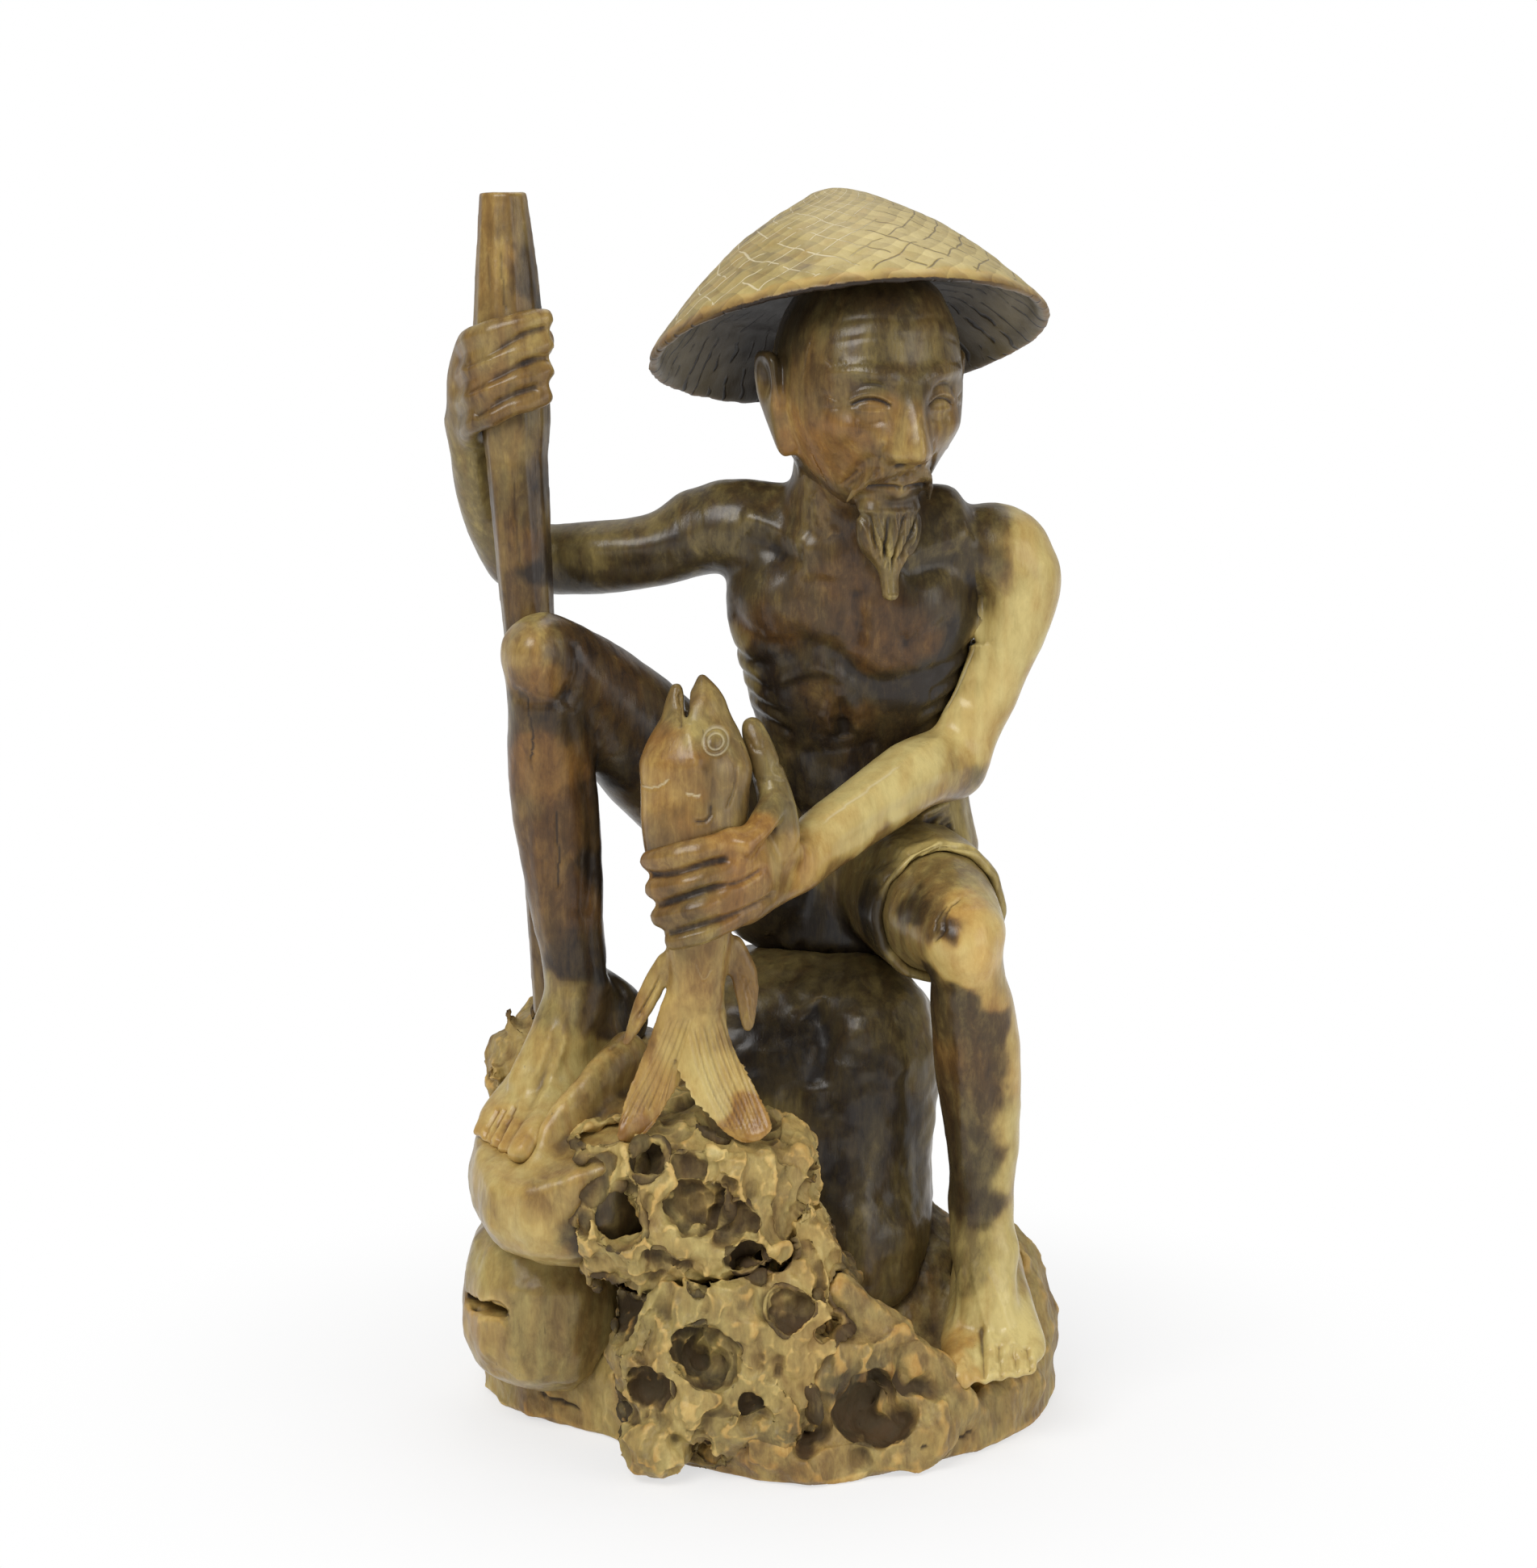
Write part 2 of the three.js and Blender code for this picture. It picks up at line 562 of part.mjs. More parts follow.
function leftArm(grow) {
  const deltoid = lump(offset(leftShoulder, -8, 0, -2), point(1.12, 1, 1).multiplyScalar(shoulderRadius), {
    segments: 14,
    rings: 8,
    grow,
  });
  const shoulder = limb([
    [offset(leftShoulder, -6, 0, -4), shoulderRadius * 0.8, shoulderRadius * 0.92],
    [between(leftShoulder, leftElbow, 0.08, 1.5, 0, 0), shoulderRadius * 0.84, shoulderRadius * 0.92],
    [between(leftShoulder, leftElbow, 0.18, 5, 0, 0), upperArmRadius * 1.12, upperArmRadius * 1.16],
    [between(leftShoulder, leftElbow, 0.34, 7, 0, 0), upperArmRadius * 0.98, upperArmRadius * 1.05],
  ], { facing: forward, sides: 10, steps: 5, grow, ends: [8, 4] });
  const upperArm = limb([
    [between(leftShoulder, leftElbow, 0.26, 7, 0, 0), upperArmRadius, upperArmRadius * 1.05],
    [between(leftShoulder, leftElbow, 0.6, 3.4, 0, 0), upperArmRadius, upperArmRadius],
    [between(leftShoulder, leftElbow, 0.85, 0, 0, 0), upperArmRadius, upperArmRadius],
    [leftElbow, elbowRadius * 0.88, elbowRadius],
  ], { facing: forward, sides: 10, steps: 5, grow, ends: [3, elbowRadius * 0.6] });
  const forearm = limb([
    [offset(leftElbow, 0, 1, 0), elbowRadius, elbowRadius],
    [between(leftElbow, leftWrist, 0.25, 0, -2, 6), elbowRadius * 0.95, elbowRadius * 0.97],
    [between(leftElbow, leftWrist, 0.5, 1, 0, 5), elbowRadius * 0.88, elbowRadius * 0.93],
    [between(leftElbow, leftWrist, 0.75, 0, 0, 3), wristRadius * 1.2, wristRadius * 1.3],
    [leftWrist, wristRadius * 1.05, wristRadius * 1.24],
  ], { facing: up, sides: 10, steps: 7, grow, ends: [elbowRadius * 0.7, 3] });
  const palm = limb([
    [offset(leftWrist, 3, 4, 0), wristRadius * 1.15, wristRadius * 0.85],
    [offset(leftWrist, -8, -9, 0), wristRadius * 1.5, wristRadius * 0.8],
    [offset(leftWrist, -18, -24, 0), wristRadius * 1.9, wristRadius * 0.75],
    [offset(leftWrist, -27, -31, 1), wristRadius * 1.8, wristRadius * 0.5],
  ], { facing: point(0.75, -0.66, 0), sides: 10, steps: 5, grow, ends: [0, 3] });
  const thumb = limb([
    [offset(leftWrist, -3, -9, 4), fingerRadius * 1.4],
    [offset(leftWrist, -4, -11, 17), fingerRadius * 1.45],
    [offset(leftWrist, -7.5, -9, 33), fingerRadius * 1.25],
    [offset(leftWrist, -12, -7, 46), fingerRadius * 1.1],
    [offset(leftWrist, -15.5, -5, 56), fingerRadius * 0.85],
  ], { facing: rightward, sides: 7, steps: 6, grow, ends: [3, fingerRadius * 0.8] });
  const web = limb([
    [offset(leftWrist, -19, -33, 13), fingerRadius * 0.9],
    [offset(leftWrist, -12, -24, 20), fingerRadius * 1.2, fingerRadius * 0.8],
    [offset(leftWrist, -7, -15, 27), fingerRadius * 1.1],
  ], { facing: up, sides: 6, steps: 3, grow, ends: [3, 3] });
  return joined(deltoid, shoulder)
    .intersect(beyond(leftJoint, leftJointAxis, (jointGap - grow) / 2))
    .add(joined(upperArm, forearm, palm, thumb, web, ...leftFingers(grow)));
}

// Staff: whittled in long flats, thickest at the hand
function staff(grow) {
  return solid(limb([
    [staffTop, staffTopRadius],
    [between(staffTop, staffGrip, 0.65), staffGripRadius * 0.96],
    [staffGrip, staffGripRadius],
    [between(staffGrip, staffKnee, 0.2, 0.6, 0, 0), staffGripRadius * 1.03],
    [between(staffGrip, staffKnee, 0.42), staffGripRadius * 0.88],
    [staffKnee, staffGripRadius * 0.78],
    [between(staffKnee, staffFoot, 0.35, 0, 1, 0), staffFootRadius * 1.16],
    [between(staffKnee, staffFoot, 0.7), staffFootRadius * 1.04],
    [staffFoot, staffFootRadius],
  ], { facing: forward, sides: 10, steps: 12, grow }));
}

// Fish: head up, its back to the viewer's right, with gill covers, fins and a forked tail
function blade(stations, grow, ends = [1.5, 2]) {
  return limb(stations, { facing: point(0.2, -1, 0), sides: 6, steps: 5, grow, ends });
}

function fishBody(grow) {
  const gillCover = (angle, share) => 1.3 * bump(share, 0.36, 0.05)
    - 1.2 * bump(share, 0.42, 0.02) + 1.5 * bump(angle, Math.PI / 2, 0.3) * bump(share, 0.3, 0.3);
  const body = limb([
    [offset(fishMouth, 2.5, 0, 2), 1.8, 3, 3],
    [offset(fishMouth, 3.5, 0, -5), fishHalfHeight * 0.36, fishHalfThickness * 0.5],
    [offset(fishMouth, 1.5, -1, -16), fishHalfHeight * 0.74, fishHalfThickness * 0.75],
    [between(fishMouth, fishGrip, 0.44, 0, -2, 0), fishHalfHeight, fishHalfThickness * 0.94],
    [between(fishMouth, fishGrip, 0.72, -0.5, -1, 0), fishHalfHeight, fishHalfThickness],
    [fishGrip, fishHalfHeight * 0.88, fishHalfThickness * 0.94],
    [between(fishGrip, fishTail, 0.45, 0.6, 0, 0), fishHalfHeight * 0.63, fishHalfThickness * 0.72],
    [between(fishGrip, fishTail, 0.75, 0.6, 0, 0), fishHalfHeight * 0.54, fishHalfThickness * 0.6],
    [fishTail, fishHalfHeight * 0.5, fishHalfThickness * 0.45],
  ], { sides: 14, steps: 16, grow, relief: gillCover, ends: [2, 3] });
  const lowerJaw = limb([
    [offset(fishMouth, -7.5, 0, -1), 1.8, 3, 3],
    [offset(fishMouth, -7.5, 0, -9), 5, 6, 6],
    [offset(fishMouth, -6, -1, -20), 9.5, 9, 9],
  ], { sides: 8, steps: 4, grow, ends: [1.5, 1] });
  return joined(body, lowerJaw);
}

// Open mouth between the jaws
function fishMouthSlit(grow) {
  return solid(lump(offset(fishMouth, -3.4, -2, -3), point(1.7 - grow, 20, 12 - grow), {
    segments: 10,
    rings: 8,
  }));
}

function tailLobes(grow) {
  const rim = tailThickness / 2;
  const nearLobe = [
    [offset(fishTail, 2, 0, 6), 9, fishHalfThickness * 0.36],
    [offset(fishTail, 2, -2, -12), 11, rim * 1.4],
    [offset(fishTail, 5, -5, -29), 12.5, rim * 1.1],
    [offset(fishTail, 12, -9, -42), 10.5, rim],
    [offset(fishTail, 16, -12, -46), 7.5, rim * 0.7],
  ];
  const farLobe = [
    [offset(fishTail, -3, 0, 6), 9, fishHalfThickness * 0.36],
    [offset(fishTail, -8, -1, -12), 10, rim * 1.4],
    [offset(fishTail, -15, -4, -30), 9, rim * 1.1],
    [offset(fishTail, -20, -8, -43), 7, rim],
    [offset(fishTail, -23, -10, -48), 4.5, rim * 0.7],
  ];
  return [nearLobe, farLobe].map((lobe) => blade(lobe, grow));
}

function fishFins(grow) {
  const backFin = [
    [offset(fishGrip, 13, 4, -30), 5, 3],
    [offset(fishGrip, 19, 4, -46), 6, 2],
    [offset(fishGrip, 20, 2, -64), 2.4, 1.5],
  ];
  const bellyFin = [
    [offset(fishGrip, -11, 2, -36), 4, 2.6],
    [offset(fishGrip, -19, 1, -52), 5, 2],
    [offset(fishGrip, -27, -1, -69), 1.8, 1.4],
  ];
  return [backFin, bellyFin].map((fin) => blade(fin, grow));
}

function fish(grow) {
  const eye = lump(offset(fishMouth, 8.5, -12.5, -21), point(5.2, 3, 5.2), { segments: 8, rings: 6, grow });
  return fishBody(grow)
    .add(solid(eye))
    .add(joined(...fishFins(grow), ...tailLobes(grow)))
    .subtract(fishMouthSlit(grow));
}

// Legs
function toes({ ball, along, across, grow, bigSide }) {
  return [0, 1, 2, 3, 4].map((i) => {
    const size = toeRadius * (i === 0 ? 1.8 : 1.06 - 0.06 * i);
    const spread = bigSide * (footHalfWidth - 5 - (i === 0 ? 0 : 4 + 6.2 * i));
    const reach = i === 0 ? 13 : 13 - 1.6 * i;
    const root = ball.clone().addScaledVector(across, spread).addScaledVector(along, -8);
    root.z += size * 0.2;
    const tip = root.clone().addScaledVector(along, reach + 8);
    return limb([
      [root, size, size * 0.9],
      [root.clone().lerp(tip, 0.6).add(point(0, 0, 1.2)), size * 0.95, size * 0.9],
      [tip.add(point(0, 0, -1.2)), size, size * 0.8],
    ], { facing: up, sides: 6, steps: 2, grow, ends: [0, size * 0.8] });
  });
}

function foot({ heel, ankle, ball, bigSide, grow }) {
  const along = ball.clone().sub(heel).normalize();
  const across = along.clone().cross(up).normalize();
  const sole = limb([
    [heel, footHalfWidth * 0.74, footHalfWidth * 0.95, footHalfWidth * 0.62],
    [between(heel, ball, 0.32, 0, 0, 1), footHalfWidth * 0.82, footHalfWidth * 1.05, footHalfWidth * 0.5],
    [between(heel, ball, 0.62, 0, 0, 0), footHalfWidth * 0.98, footHalfWidth * 0.7, footHalfWidth * 0.42],
    [between(heel, ball, 0.88, 0, 0, 0), footHalfWidth * 1.1, footHalfWidth * 0.4, footHalfWidth * 0.38],
    [ball, footHalfWidth, footHalfWidth * 0.26, footHalfWidth * 0.28],
  ], { facing: up, sides: 10, steps: 6, grow, ends: [footHalfWidth * 0.55, 3] });
  const instep = limb([
    [ankle, ankleRadius, ankleRadius * 0.95],
    [between(ankle, ball, 0.3, 0, 2, -3), ankleRadius * 0.98, ankleRadius * 0.9],
    [between(ankle, ball, 0.72, 0, 2, -3), ankleRadius * 0.9, ankleRadius * 0.42],
  ], { facing: forward, sides: 8, steps: 4, grow, ends: [4, 4] });
  const heelCord = limb([
    [offset(ankle, 0, 5, 4), ankleRadius * 0.8, ankleRadius * 0.9],
    [between(ankle, heel, 0.9, 0, 0, 2), footHalfWidth * 0.66, footHalfWidth * 0.66],
  ], { facing: forward, sides: 8, steps: 2, grow, ends: [3, 3] });
  return [sole, instep, heelCord, ...toes({ ball, along, across, grow, bigSide })];
}

function shin({ knee, ankle, bow, grow }) {
  const kneecap = lump(offset(knee, bow, -6, -3), point(kneeRadius * 0.72, kneeRadius * 0.72, kneeRadius), {
    segments: 10,
    rings: 6,
    grow,
  });
  const bone = limb([
    [knee, kneeRadius * 0.98, kneeRadius * 0.9, kneeRadius],
    [between(knee, ankle, 0.14, bow * 0.4, 1, 0), kneeRadius * 0.88, kneeRadius * 0.92, kneeRadius],
    [between(knee, ankle, 0.3, bow, 3, 0), calfRadius * 1.02, calfRadius * 0.85, calfRadius * 1.12],
    [between(knee, ankle, 0.5, bow, 3, 0), calfRadius * 1.04, calfRadius * 0.84, calfRadius * 1.1],
    [between(knee, ankle, 0.72, bow, 1, 0), ankleRadius * 1.1, ankleRadius, ankleRadius * 1.05],
    [between(knee, ankle, 0.9, bow * 0.5, 0, 0), ankleRadius * 0.97, ankleRadius * 0.92],
    [ankle, ankleRadius * 1.04, ankleRadius],
  ], { facing: forward, sides: 12, steps: 10, grow, ends: [kneeRadius * 0.85, 0] });
  return [bone, kneecap];
}

function rightLeg(grow) {
  const thigh = limb([
    [rightHip, thighRadius, thighRadius],
    [between(rightHip, rightKnee, 0.28, 0, 2, 2), thighRadius * 0.97, thighRadius * 0.98],
    [
      between(rightHip, rightKnee, 0.58, 0, 4, 2),
      thighRadius * 0.86,
      thighRadius * 0.98,
      thighRadius * 0.97,
    ],
    [between(rightHip, rightKnee, 0.82, 0, 2, 2), kneeRadius * 1.1, kneeRadius * 1.28, kneeRadius * 1.12],
    [rightKnee, kneeRadius * 0.94, kneeRadius * 0.95],
  ], { facing: up, sides: 12, steps: 7, grow, ends: [0, kneeRadius * 0.8] });
  const parts = shin({ knee: rightKnee, ankle: rightAnkle, bow: -1.5, grow })
    .concat(foot({ heel: rightHeel, ankle: rightAnkle, ball: rightToes, bigSide: -1, grow }));
  return joined(thigh, ...parts);
}

function leftLeg(grow) {
  const thigh = limb([
    [between(leftHip, leftKnee, 0.2), thighRadius, thighRadius],
    [between(leftHip, leftKnee, 0.45, 1, 0, 1), thighRadius * 0.96, thighRadius * 0.98],
    [between(leftHip, leftKnee, 0.72, 1, 0, 1), thighRadius * 0.86, thighRadius * 0.9],
    [leftKnee, kneeRadius * 1.1, kneeRadius],
  ], { facing: up, sides: 12, steps: 5, grow, ends: [0, kneeRadius] });
  const parts = shin({ knee: leftKnee, ankle: leftAnkle, bow: 3, grow })
    .concat(foot({ heel: leftHeel, ankle: leftAnkle, ball: leftToes, bigSide: 1, grow }));
  return joined(thigh, ...parts);
}

// Short trousers: a seat that the trunk and the thighs are let into
const clothWall = 3;

function shorts(grow) {
  const seat = limb([
    [
      offset(waist, 0, 0, 4),
      waistHalfWidth + clothWall * 1.3,
      chestDepth * 0.8 + clothWall,
      chestDepth * 0.9 + clothWall,
    ],
    [offset(waist, 5, 1, -8), hipHalfWidth * 1.17, chestDepth * 0.95, chestDepth * 1.1],
    [offset(waist, 2, 2, -30), hipHalfWidth * 1.16, chestDepth, chestDepth * 1.25],
    [offset(waist, -2, 0, -52), hipHalfWidth * 1.16, chestDepth * 0.9, chestDepth * 1.15],
    [offset(waist, -4, -4, -66), hipHalfWidth * 1.02, chestDepth * 0.7, chestDepth * 0.9],
  ], { facing: forward, sides: 14, steps: 6, grow, ends: [0, 6] });
  const leftSleeve = limb([
    [leftHip, thighRadius + clothWall, thighRadius + clothWall],
    [between(leftHip, leftKnee, 0.45, 1, 0, 1), thighRadius + clothWall, thighRadius + clothWall],
    [between(leftHip, leftKnee, 0.66, 1, 0, 1), thighRadius * 0.95 + clothWall, thighRadius + clothWall],
  ], { facing: up, sides: 12, steps: 4, grow, ends: [6, 0] });
  const rightSleeve = limb([
    [between(rightHip, rightKnee, -0.1), thighRadius + clothWall, thighRadius + clothWall],
    [rightHip, thighRadius + clothWall, thighRadius + clothWall],
    [between(rightHip, rightKnee, 0.14, 0, 1, 1), thighRadius + clothWall, thighRadius + clothWall],
  ], { facing: up, sides: 12, steps: 3, grow, ends: [4, 0] });
  return joined(seat, leftSleeve, rightSleeve);
}

// Rock forms. Ripples are smooth and repeat nowhere on one rock.
function ripple(direction, count, phase) {
  return Math.sin(count * direction.x + phase)
    * Math.sin(count * direction.y + 1.7 * phase)
    + 0.6 * Math.sin(count * 1.6 * direction.z + 2.3 * phase + 2 * direction.x);
}

function pit(middle, radius, depth = radius) {
  return lump(middle, point(radius, depth, radius * 0.85), { segments: 9, rings: 6 });
}

// Chisel scoops over the front and the sides of a rock, spread by the golden angle
const goldenAngle = Math.PI * (3 - Math.sqrt(5));
const scoopLift = 0.5;
const scoopRear = 0.2;

function scoops({ middle, size, phase }) {
  const cutters = [];
  for (let i = 0; i < scoopCount; i += 1) {
    const height = 1 - (2 * i + 1) / scoopCount;
    const angle = goldenAngle * i + phase;
    const across = Math.sqrt(1 - height ** 2);
    const direction = point(across * Math.cos(angle), across * Math.sin(angle), height);
    const reach = scoopRadius * (1 + 0.28 * Math.sin(2.4 * i + phase));
    const place = offset(middle, direction.x * size.x, direction.y * size.y, direction.z * size.z);
    place.addScaledVector(direction, reach * scoopLift);
    if (direction.y < scoopRear) {
      cutters.push(lump(place, point(reach, reach, reach * 0.9), { segments: 8, rings: 5 }));
    }
  }
  return joined(...cutters);
}

// Pointed tooth of rock
function spike(root, tip, width, grow) {
  const facing = point(0.3, -0.9, 0.2);
  return limb([[root, width], [tip, width * 0.22]], { facing, sides: 6, steps: 1, grow });
}

// Boulder: a ball squared off by its boxiness and rippled by its roughness
function rock({ middle, size, grow, boxiness = 2.4, roughness, lobes, count, phase, ...mesh }) {
  const { segments = 16, rings = 10 } = mesh;
  const shape = (direction) => {
    const norm = Math.abs(direction.x) ** boxiness + Math.abs(direction.y) ** boxiness
      + Math.abs(direction.z) ** boxiness;
    const lobe = lobes ? lobes(direction) : 0;
    return norm ** (-1 / boxiness) - 1 + lobe + roughness * ripple(direction, count, phase);
  };
  return solid(lump(middle, size, { segments, rings, grow, shape }));
}

// Height of the base's upper side, a mound that falls from the seat to the rim
function moundHeight(x, y) {
  const rim = baseRimHeight;
  const underSeat = 66 * bump(x, 4, 66) * bump(y, 34, 64);
  const seatFoot = 52 * bump(x, 60, 24) * bump(y, 12, 38);
  const leftHeelRest = 20 * bump(x, 98, 24) * bump(y, -8, 30);
  const rightRock = 44 * bump(x, 108, 22) * bump(y, 6, 34);
  const leftFootSlope = 8 * bump(x, 92, 26) * bump(y, -50, 26);
  const front = 8 * bump(x, 20, 50) * bump(y, -90, 26);
  const frontLeft = 30 * bump(x, -50, 30) * bump(y, -34, 32);
  const rearLeft = 26 * bump(x, -80, 40) * bump(y, 24, 50);
  return rim + underSeat + seatFoot + leftHeelRest + rightRock + leftFootSlope + front + frontLeft + rearLeft;
}

// Point over the base, at a share of its radius and an angle in degrees from the viewer's right
function onBase(share, angle, height) {
  const reach = baseRadius * share;
  return point(reach * Math.cos(degrees(angle)), reach * Math.sin(degrees(angle)), height);
}

// Outline of the log that the base keeps, cut away on the front left
function baseReach(angle) {
  const cutLeft = 0.3 * bump(angle, 1.22 * Math.PI, 0.5);
  const cutFront = 0.13 * bump(angle, 1.42 * Math.PI, 0.35);
  const cutRight = 0.08 * bump(angle, 1.68 * Math.PI, 0.42);
  const wave = 0.01 * Math.sin(5 * angle + 2) + 0.005 * Math.sin(9 * angle + 1);
  return baseRadius * (1 - cutLeft - cutFront - cutRight + wave);
}

// Large pit in the base's front
function basePit(margin = 0) {
  return pit(onBase(0.95, -67, 31), pitRadius * 1.5 + margin, pitRadius * 1.4 + margin);
}

function base(grow) {
  const sectors = 36;
  const rings = [];
  function addRing(share, height) {
    const ring = [];
    for (let j = 0; j < sectors; j += 1) {
      const angle = (2 * Math.PI * j) / sectors;
      const reach = (baseReach(angle) + grow) * share;
      const x = reach * Math.cos(angle);
      const y = reach * Math.sin(angle);
      ring.push(point(x, y, height(x, y)));
    }
    rings.push(ring);
  }
  addRing(0.5, () => 0);
  addRing(0.975, () => 0);
  addRing(1, () => 3);
  addRing(1, (x, y) => moundHeight(x, y) * 0.82 + grow);
  for (const share of [0.95, 0.82, 0.66, 0.48, 0.3, 0.13]) {
    addRing(share, (x, y) => moundHeight(x, y) + grow);
  }
  const ridge = limb([
    [onBase(0.78, -73, 76), 9, 9, 12],
    [onBase(0.83, -61, 56), 8, 8, 14],
    [onBase(0.9, -49, 34), 8, 7, 12],
    [onBase(0.91, -42, 20), 8, 5, 8],
  ], { facing: up, sides: 8, steps: 6, grow, ends: [4, 6] });
  const underRidge = [
    lump(onBase(0.76, -68, 30), point(27, 24, 34), { segments: 14, rings: 8, grow }),
    lump(onBase(0.82, -56, 18), point(24, 20, 23), { segments: 14, rings: 8, grow }),
  ];
  const floor = beyond(point(0, 0, 0), up.clone().negate());
  return joined(skin(rings), ridge, ...underRidge).subtract(solid(basePit())).subtract(floor);
}

function seatBoulder(grow) {
  const lobes = (direction) => {
    const { x, y, z } = direction;
    const right = bump(x, 0.66, 0.45) * bump(y, -0.5, 0.6) * bump(z, 0.5, 0.4);
    const low = bump(x, 0.35, 0.5) * bump(y, -0.8, 0.5) * bump(z, -0.35, 0.3);
    const rear = bump(x, -0.4, 0.4) * bump(y, 0.75, 0.5) * bump(z, -0.1, 0.4);
    return 0.2 * right + 0.26 * low + 0.12 * rear;
  };
  return rock({
    middle: offset(seatTop, -6, 2, -84),
    size: point(61, 58, 84),
    boxiness: 3,
    roughness: 0.035,
    lobes,
    count: 3,
    phase: 1,
    grow,
    segments: 22,
    rings: 14,
  });
}

function footBoulder(grow) {
  const stone = rock({
    middle: offset(rightToes, 25, 15, -20),
    size: point(43, 57, 34),
    boxiness: 2.6,
    roughness: 0.05,
    count: 3,
    phase: 2,
    grow,
  });
  const heelRest = lump(offset(rightHeel, 4, 2, -34), point(30, 32, 30), { segments: 12, rings: 8, grow });
  const sole = rightToes.clone().sub(rightHeel).normalize();
  const rise = up.clone().addScaledVector(sole, -up.dot(sole)).normalize();
  const tread = beyond(rightToes, rise, grow - footSink);
  const ridge = limb([
    [offset(rightAnkle, 21, -6, -20), 7, 8, 16],
    [offset(rightAnkle, 7, -24, -32), 7, 7, 16],
    [offset(rightToes, 15, -15, -2), 6, 6, 14],
    [offset(rightToes, 8, -25, -14), 5, 5, 12],
  ], { facing: up, sides: 8, steps: 6, grow, ends: [4, 4] });
  return stone.add(solid(heelRest)).subtract(tread).add(solid(ridge));
}

function lowBoulder(grow, cut = true) {
  const middle = onBase(0.718, 193, 51);
  const stone = rock({
    middle,
    size: point(36, 48, 39),
    boxiness: 2.6,
    roughness: 0.035,
    count: 3,
    phase: 5,
    grow,
  });
  const slit = lump(offset(middle, -27, -32, 3), point(16, 18, 2.6), { segments: 10, rings: 6 });
  return cut ? stone.subtract(solid(slit)) : stone;
}

// Gnarled outcrop behind the right foot, where the staff stands
function staffOutcrop(grow) {
  const core = rock({
    middle: offset(staffFoot, -2, 18, -38),
    size: point(24, 30, 42),
    roughness: 0.08,
    count: 5,
    phase: 3,
    grow,
    segments: 14,
    rings: 10,
  });
  const knobs = [
    limb([
      [offset(staffFoot, -8, 8, -14), 10],
      [offset(staffFoot, -20, 1, -2), 4],
    ], { sides: 8, steps: 2, grow, ends: [4, 3] }),
    limb([
      [offset(staffFoot, -10, 10, -30), 12],
      [offset(staffFoot, -25, -6, -27), 4],
    ], { sides: 8, steps: 2, grow, ends: [4, 3] }),
    limb([
      [offset(staffFoot, 2, 12, -16), 12],
      [offset(staffFoot, 0, 2, 4), 8],
    ], { sides: 8, steps: 2, grow, ends: [4, 4] }),
  ];
  return core.add(joined(...knobs));
}

// Pitted outcrops at the front, eaten out like coral
function upperOutcrop(grow, cut = true) {
  const form = { middle: offset(outcropTop, -4, 22, -31), size: point(51, 50, 38) };
  const core = rock({ ...form, boxiness: 2.8, roughness: 0.06, count: 5, phase: 1.3, grow });
  const worn = cut ? core.subtract(scoops({ ...form, phase: 0.6 })) : core;
  const nose = rock({
    middle: offset(outcropTop, 30, 12, -22),
    size: point(24, 28, 21),
    roughness: 0.08,
    count: 5,
    phase: 2.1,
    grow,
    segments: 12,
    rings: 8,
  });
  const teeth = [
    spike(offset(outcropTop, -34, 8, -38), offset(outcropTop, -37, -8, -66), toothWidth, grow),
    spike(offset(outcropTop, -22, 4, -44), offset(outcropTop, -20, -13, -66), toothWidth, grow),
    spike(offset(outcropTop, 20, 6, -36), offset(outcropTop, 25, -12, -52), toothWidth, grow),
  ];
  const whole = worn.add(nose).add(joined(...teeth));
  if (!cut) {
    return whole;
  }
  const pits = [
    pit(offset(outcropTop, -15, -21, -9), pitRadius * 0.5, pitRadius),
    pit(offset(outcropTop, 5, -26, -25), pitRadius, pitRadius * 1.5),
    pit(offset(outcropTop, -26, -22, -31), pitRadius * 0.95, pitRadius * 1.4),
    pit(offset(outcropTop, 23, -22, -46), pitRadius * 0.6, pitRadius * 0.9),
    pit(offset(outcropTop, -12, -24, -56), pitRadius * 0.75, pitRadius),
  ];
  return whole.subtract(joined(...pits));
}

function lowerOutcrop(grow, cut = true) {
  const middle = onBase(0.59, -97, 46);
  const form = { middle, size: point(52, 46, 48) };
  const core = rock({ ...form, boxiness: 2.8, roughness: 0.06, count: 5, phase: 4.2, grow });
  const worn = cut ? core.subtract(scoops({ ...form, phase: 0.9 })) : core;
  const tip = rock({
    middle: offset(middle, 24, -12, 34),
    size: point(19, 19, 26),
    roughness: 0.1,
    count: 5,
    phase: 0.7,
    grow,
    segments: 12,
    rings: 8,
  });
  const spur = lump(offset(middle, -31, -27, -32), point(14, 17, 14), { segments: 10, rings: 6, grow });
  const teeth = [
    spike(offset(middle, 23, -16, 38), offset(middle, 28, -25, 62), toothWidth * 1.1, grow),
    spike(offset(middle, -1, -20, 26), offset(middle, -21, -36, 34), toothWidth, grow),
    spike(offset(middle, 25, -16, 26), offset(middle, 42, -28, 18), toothWidth * 1.1, grow),
  ];
  const whole = worn.add(tip).add(joined(spur, ...teeth));
  if (!cut) {
    return whole;
  }
  const pits = [
    pit(offset(middle, -12, -43, 6), pitRadius * 1.15, pitRadius * 1.5),
    pit(offset(middle, 35, -32, 16), pitRadius * 0.6),
    pit(offset(middle, 7, -40, -10), pitRadius * 0.5),
    basePit(jointGap * 2),
  ];
  const floor = beyond(point(0, 0, 1), up.clone().negate());
  return whole.subtract(joined(...pits)).subtract(floor);
}

// Assembly. Each piece is cut clear of the ones it rests on or holds.
const grown = {};

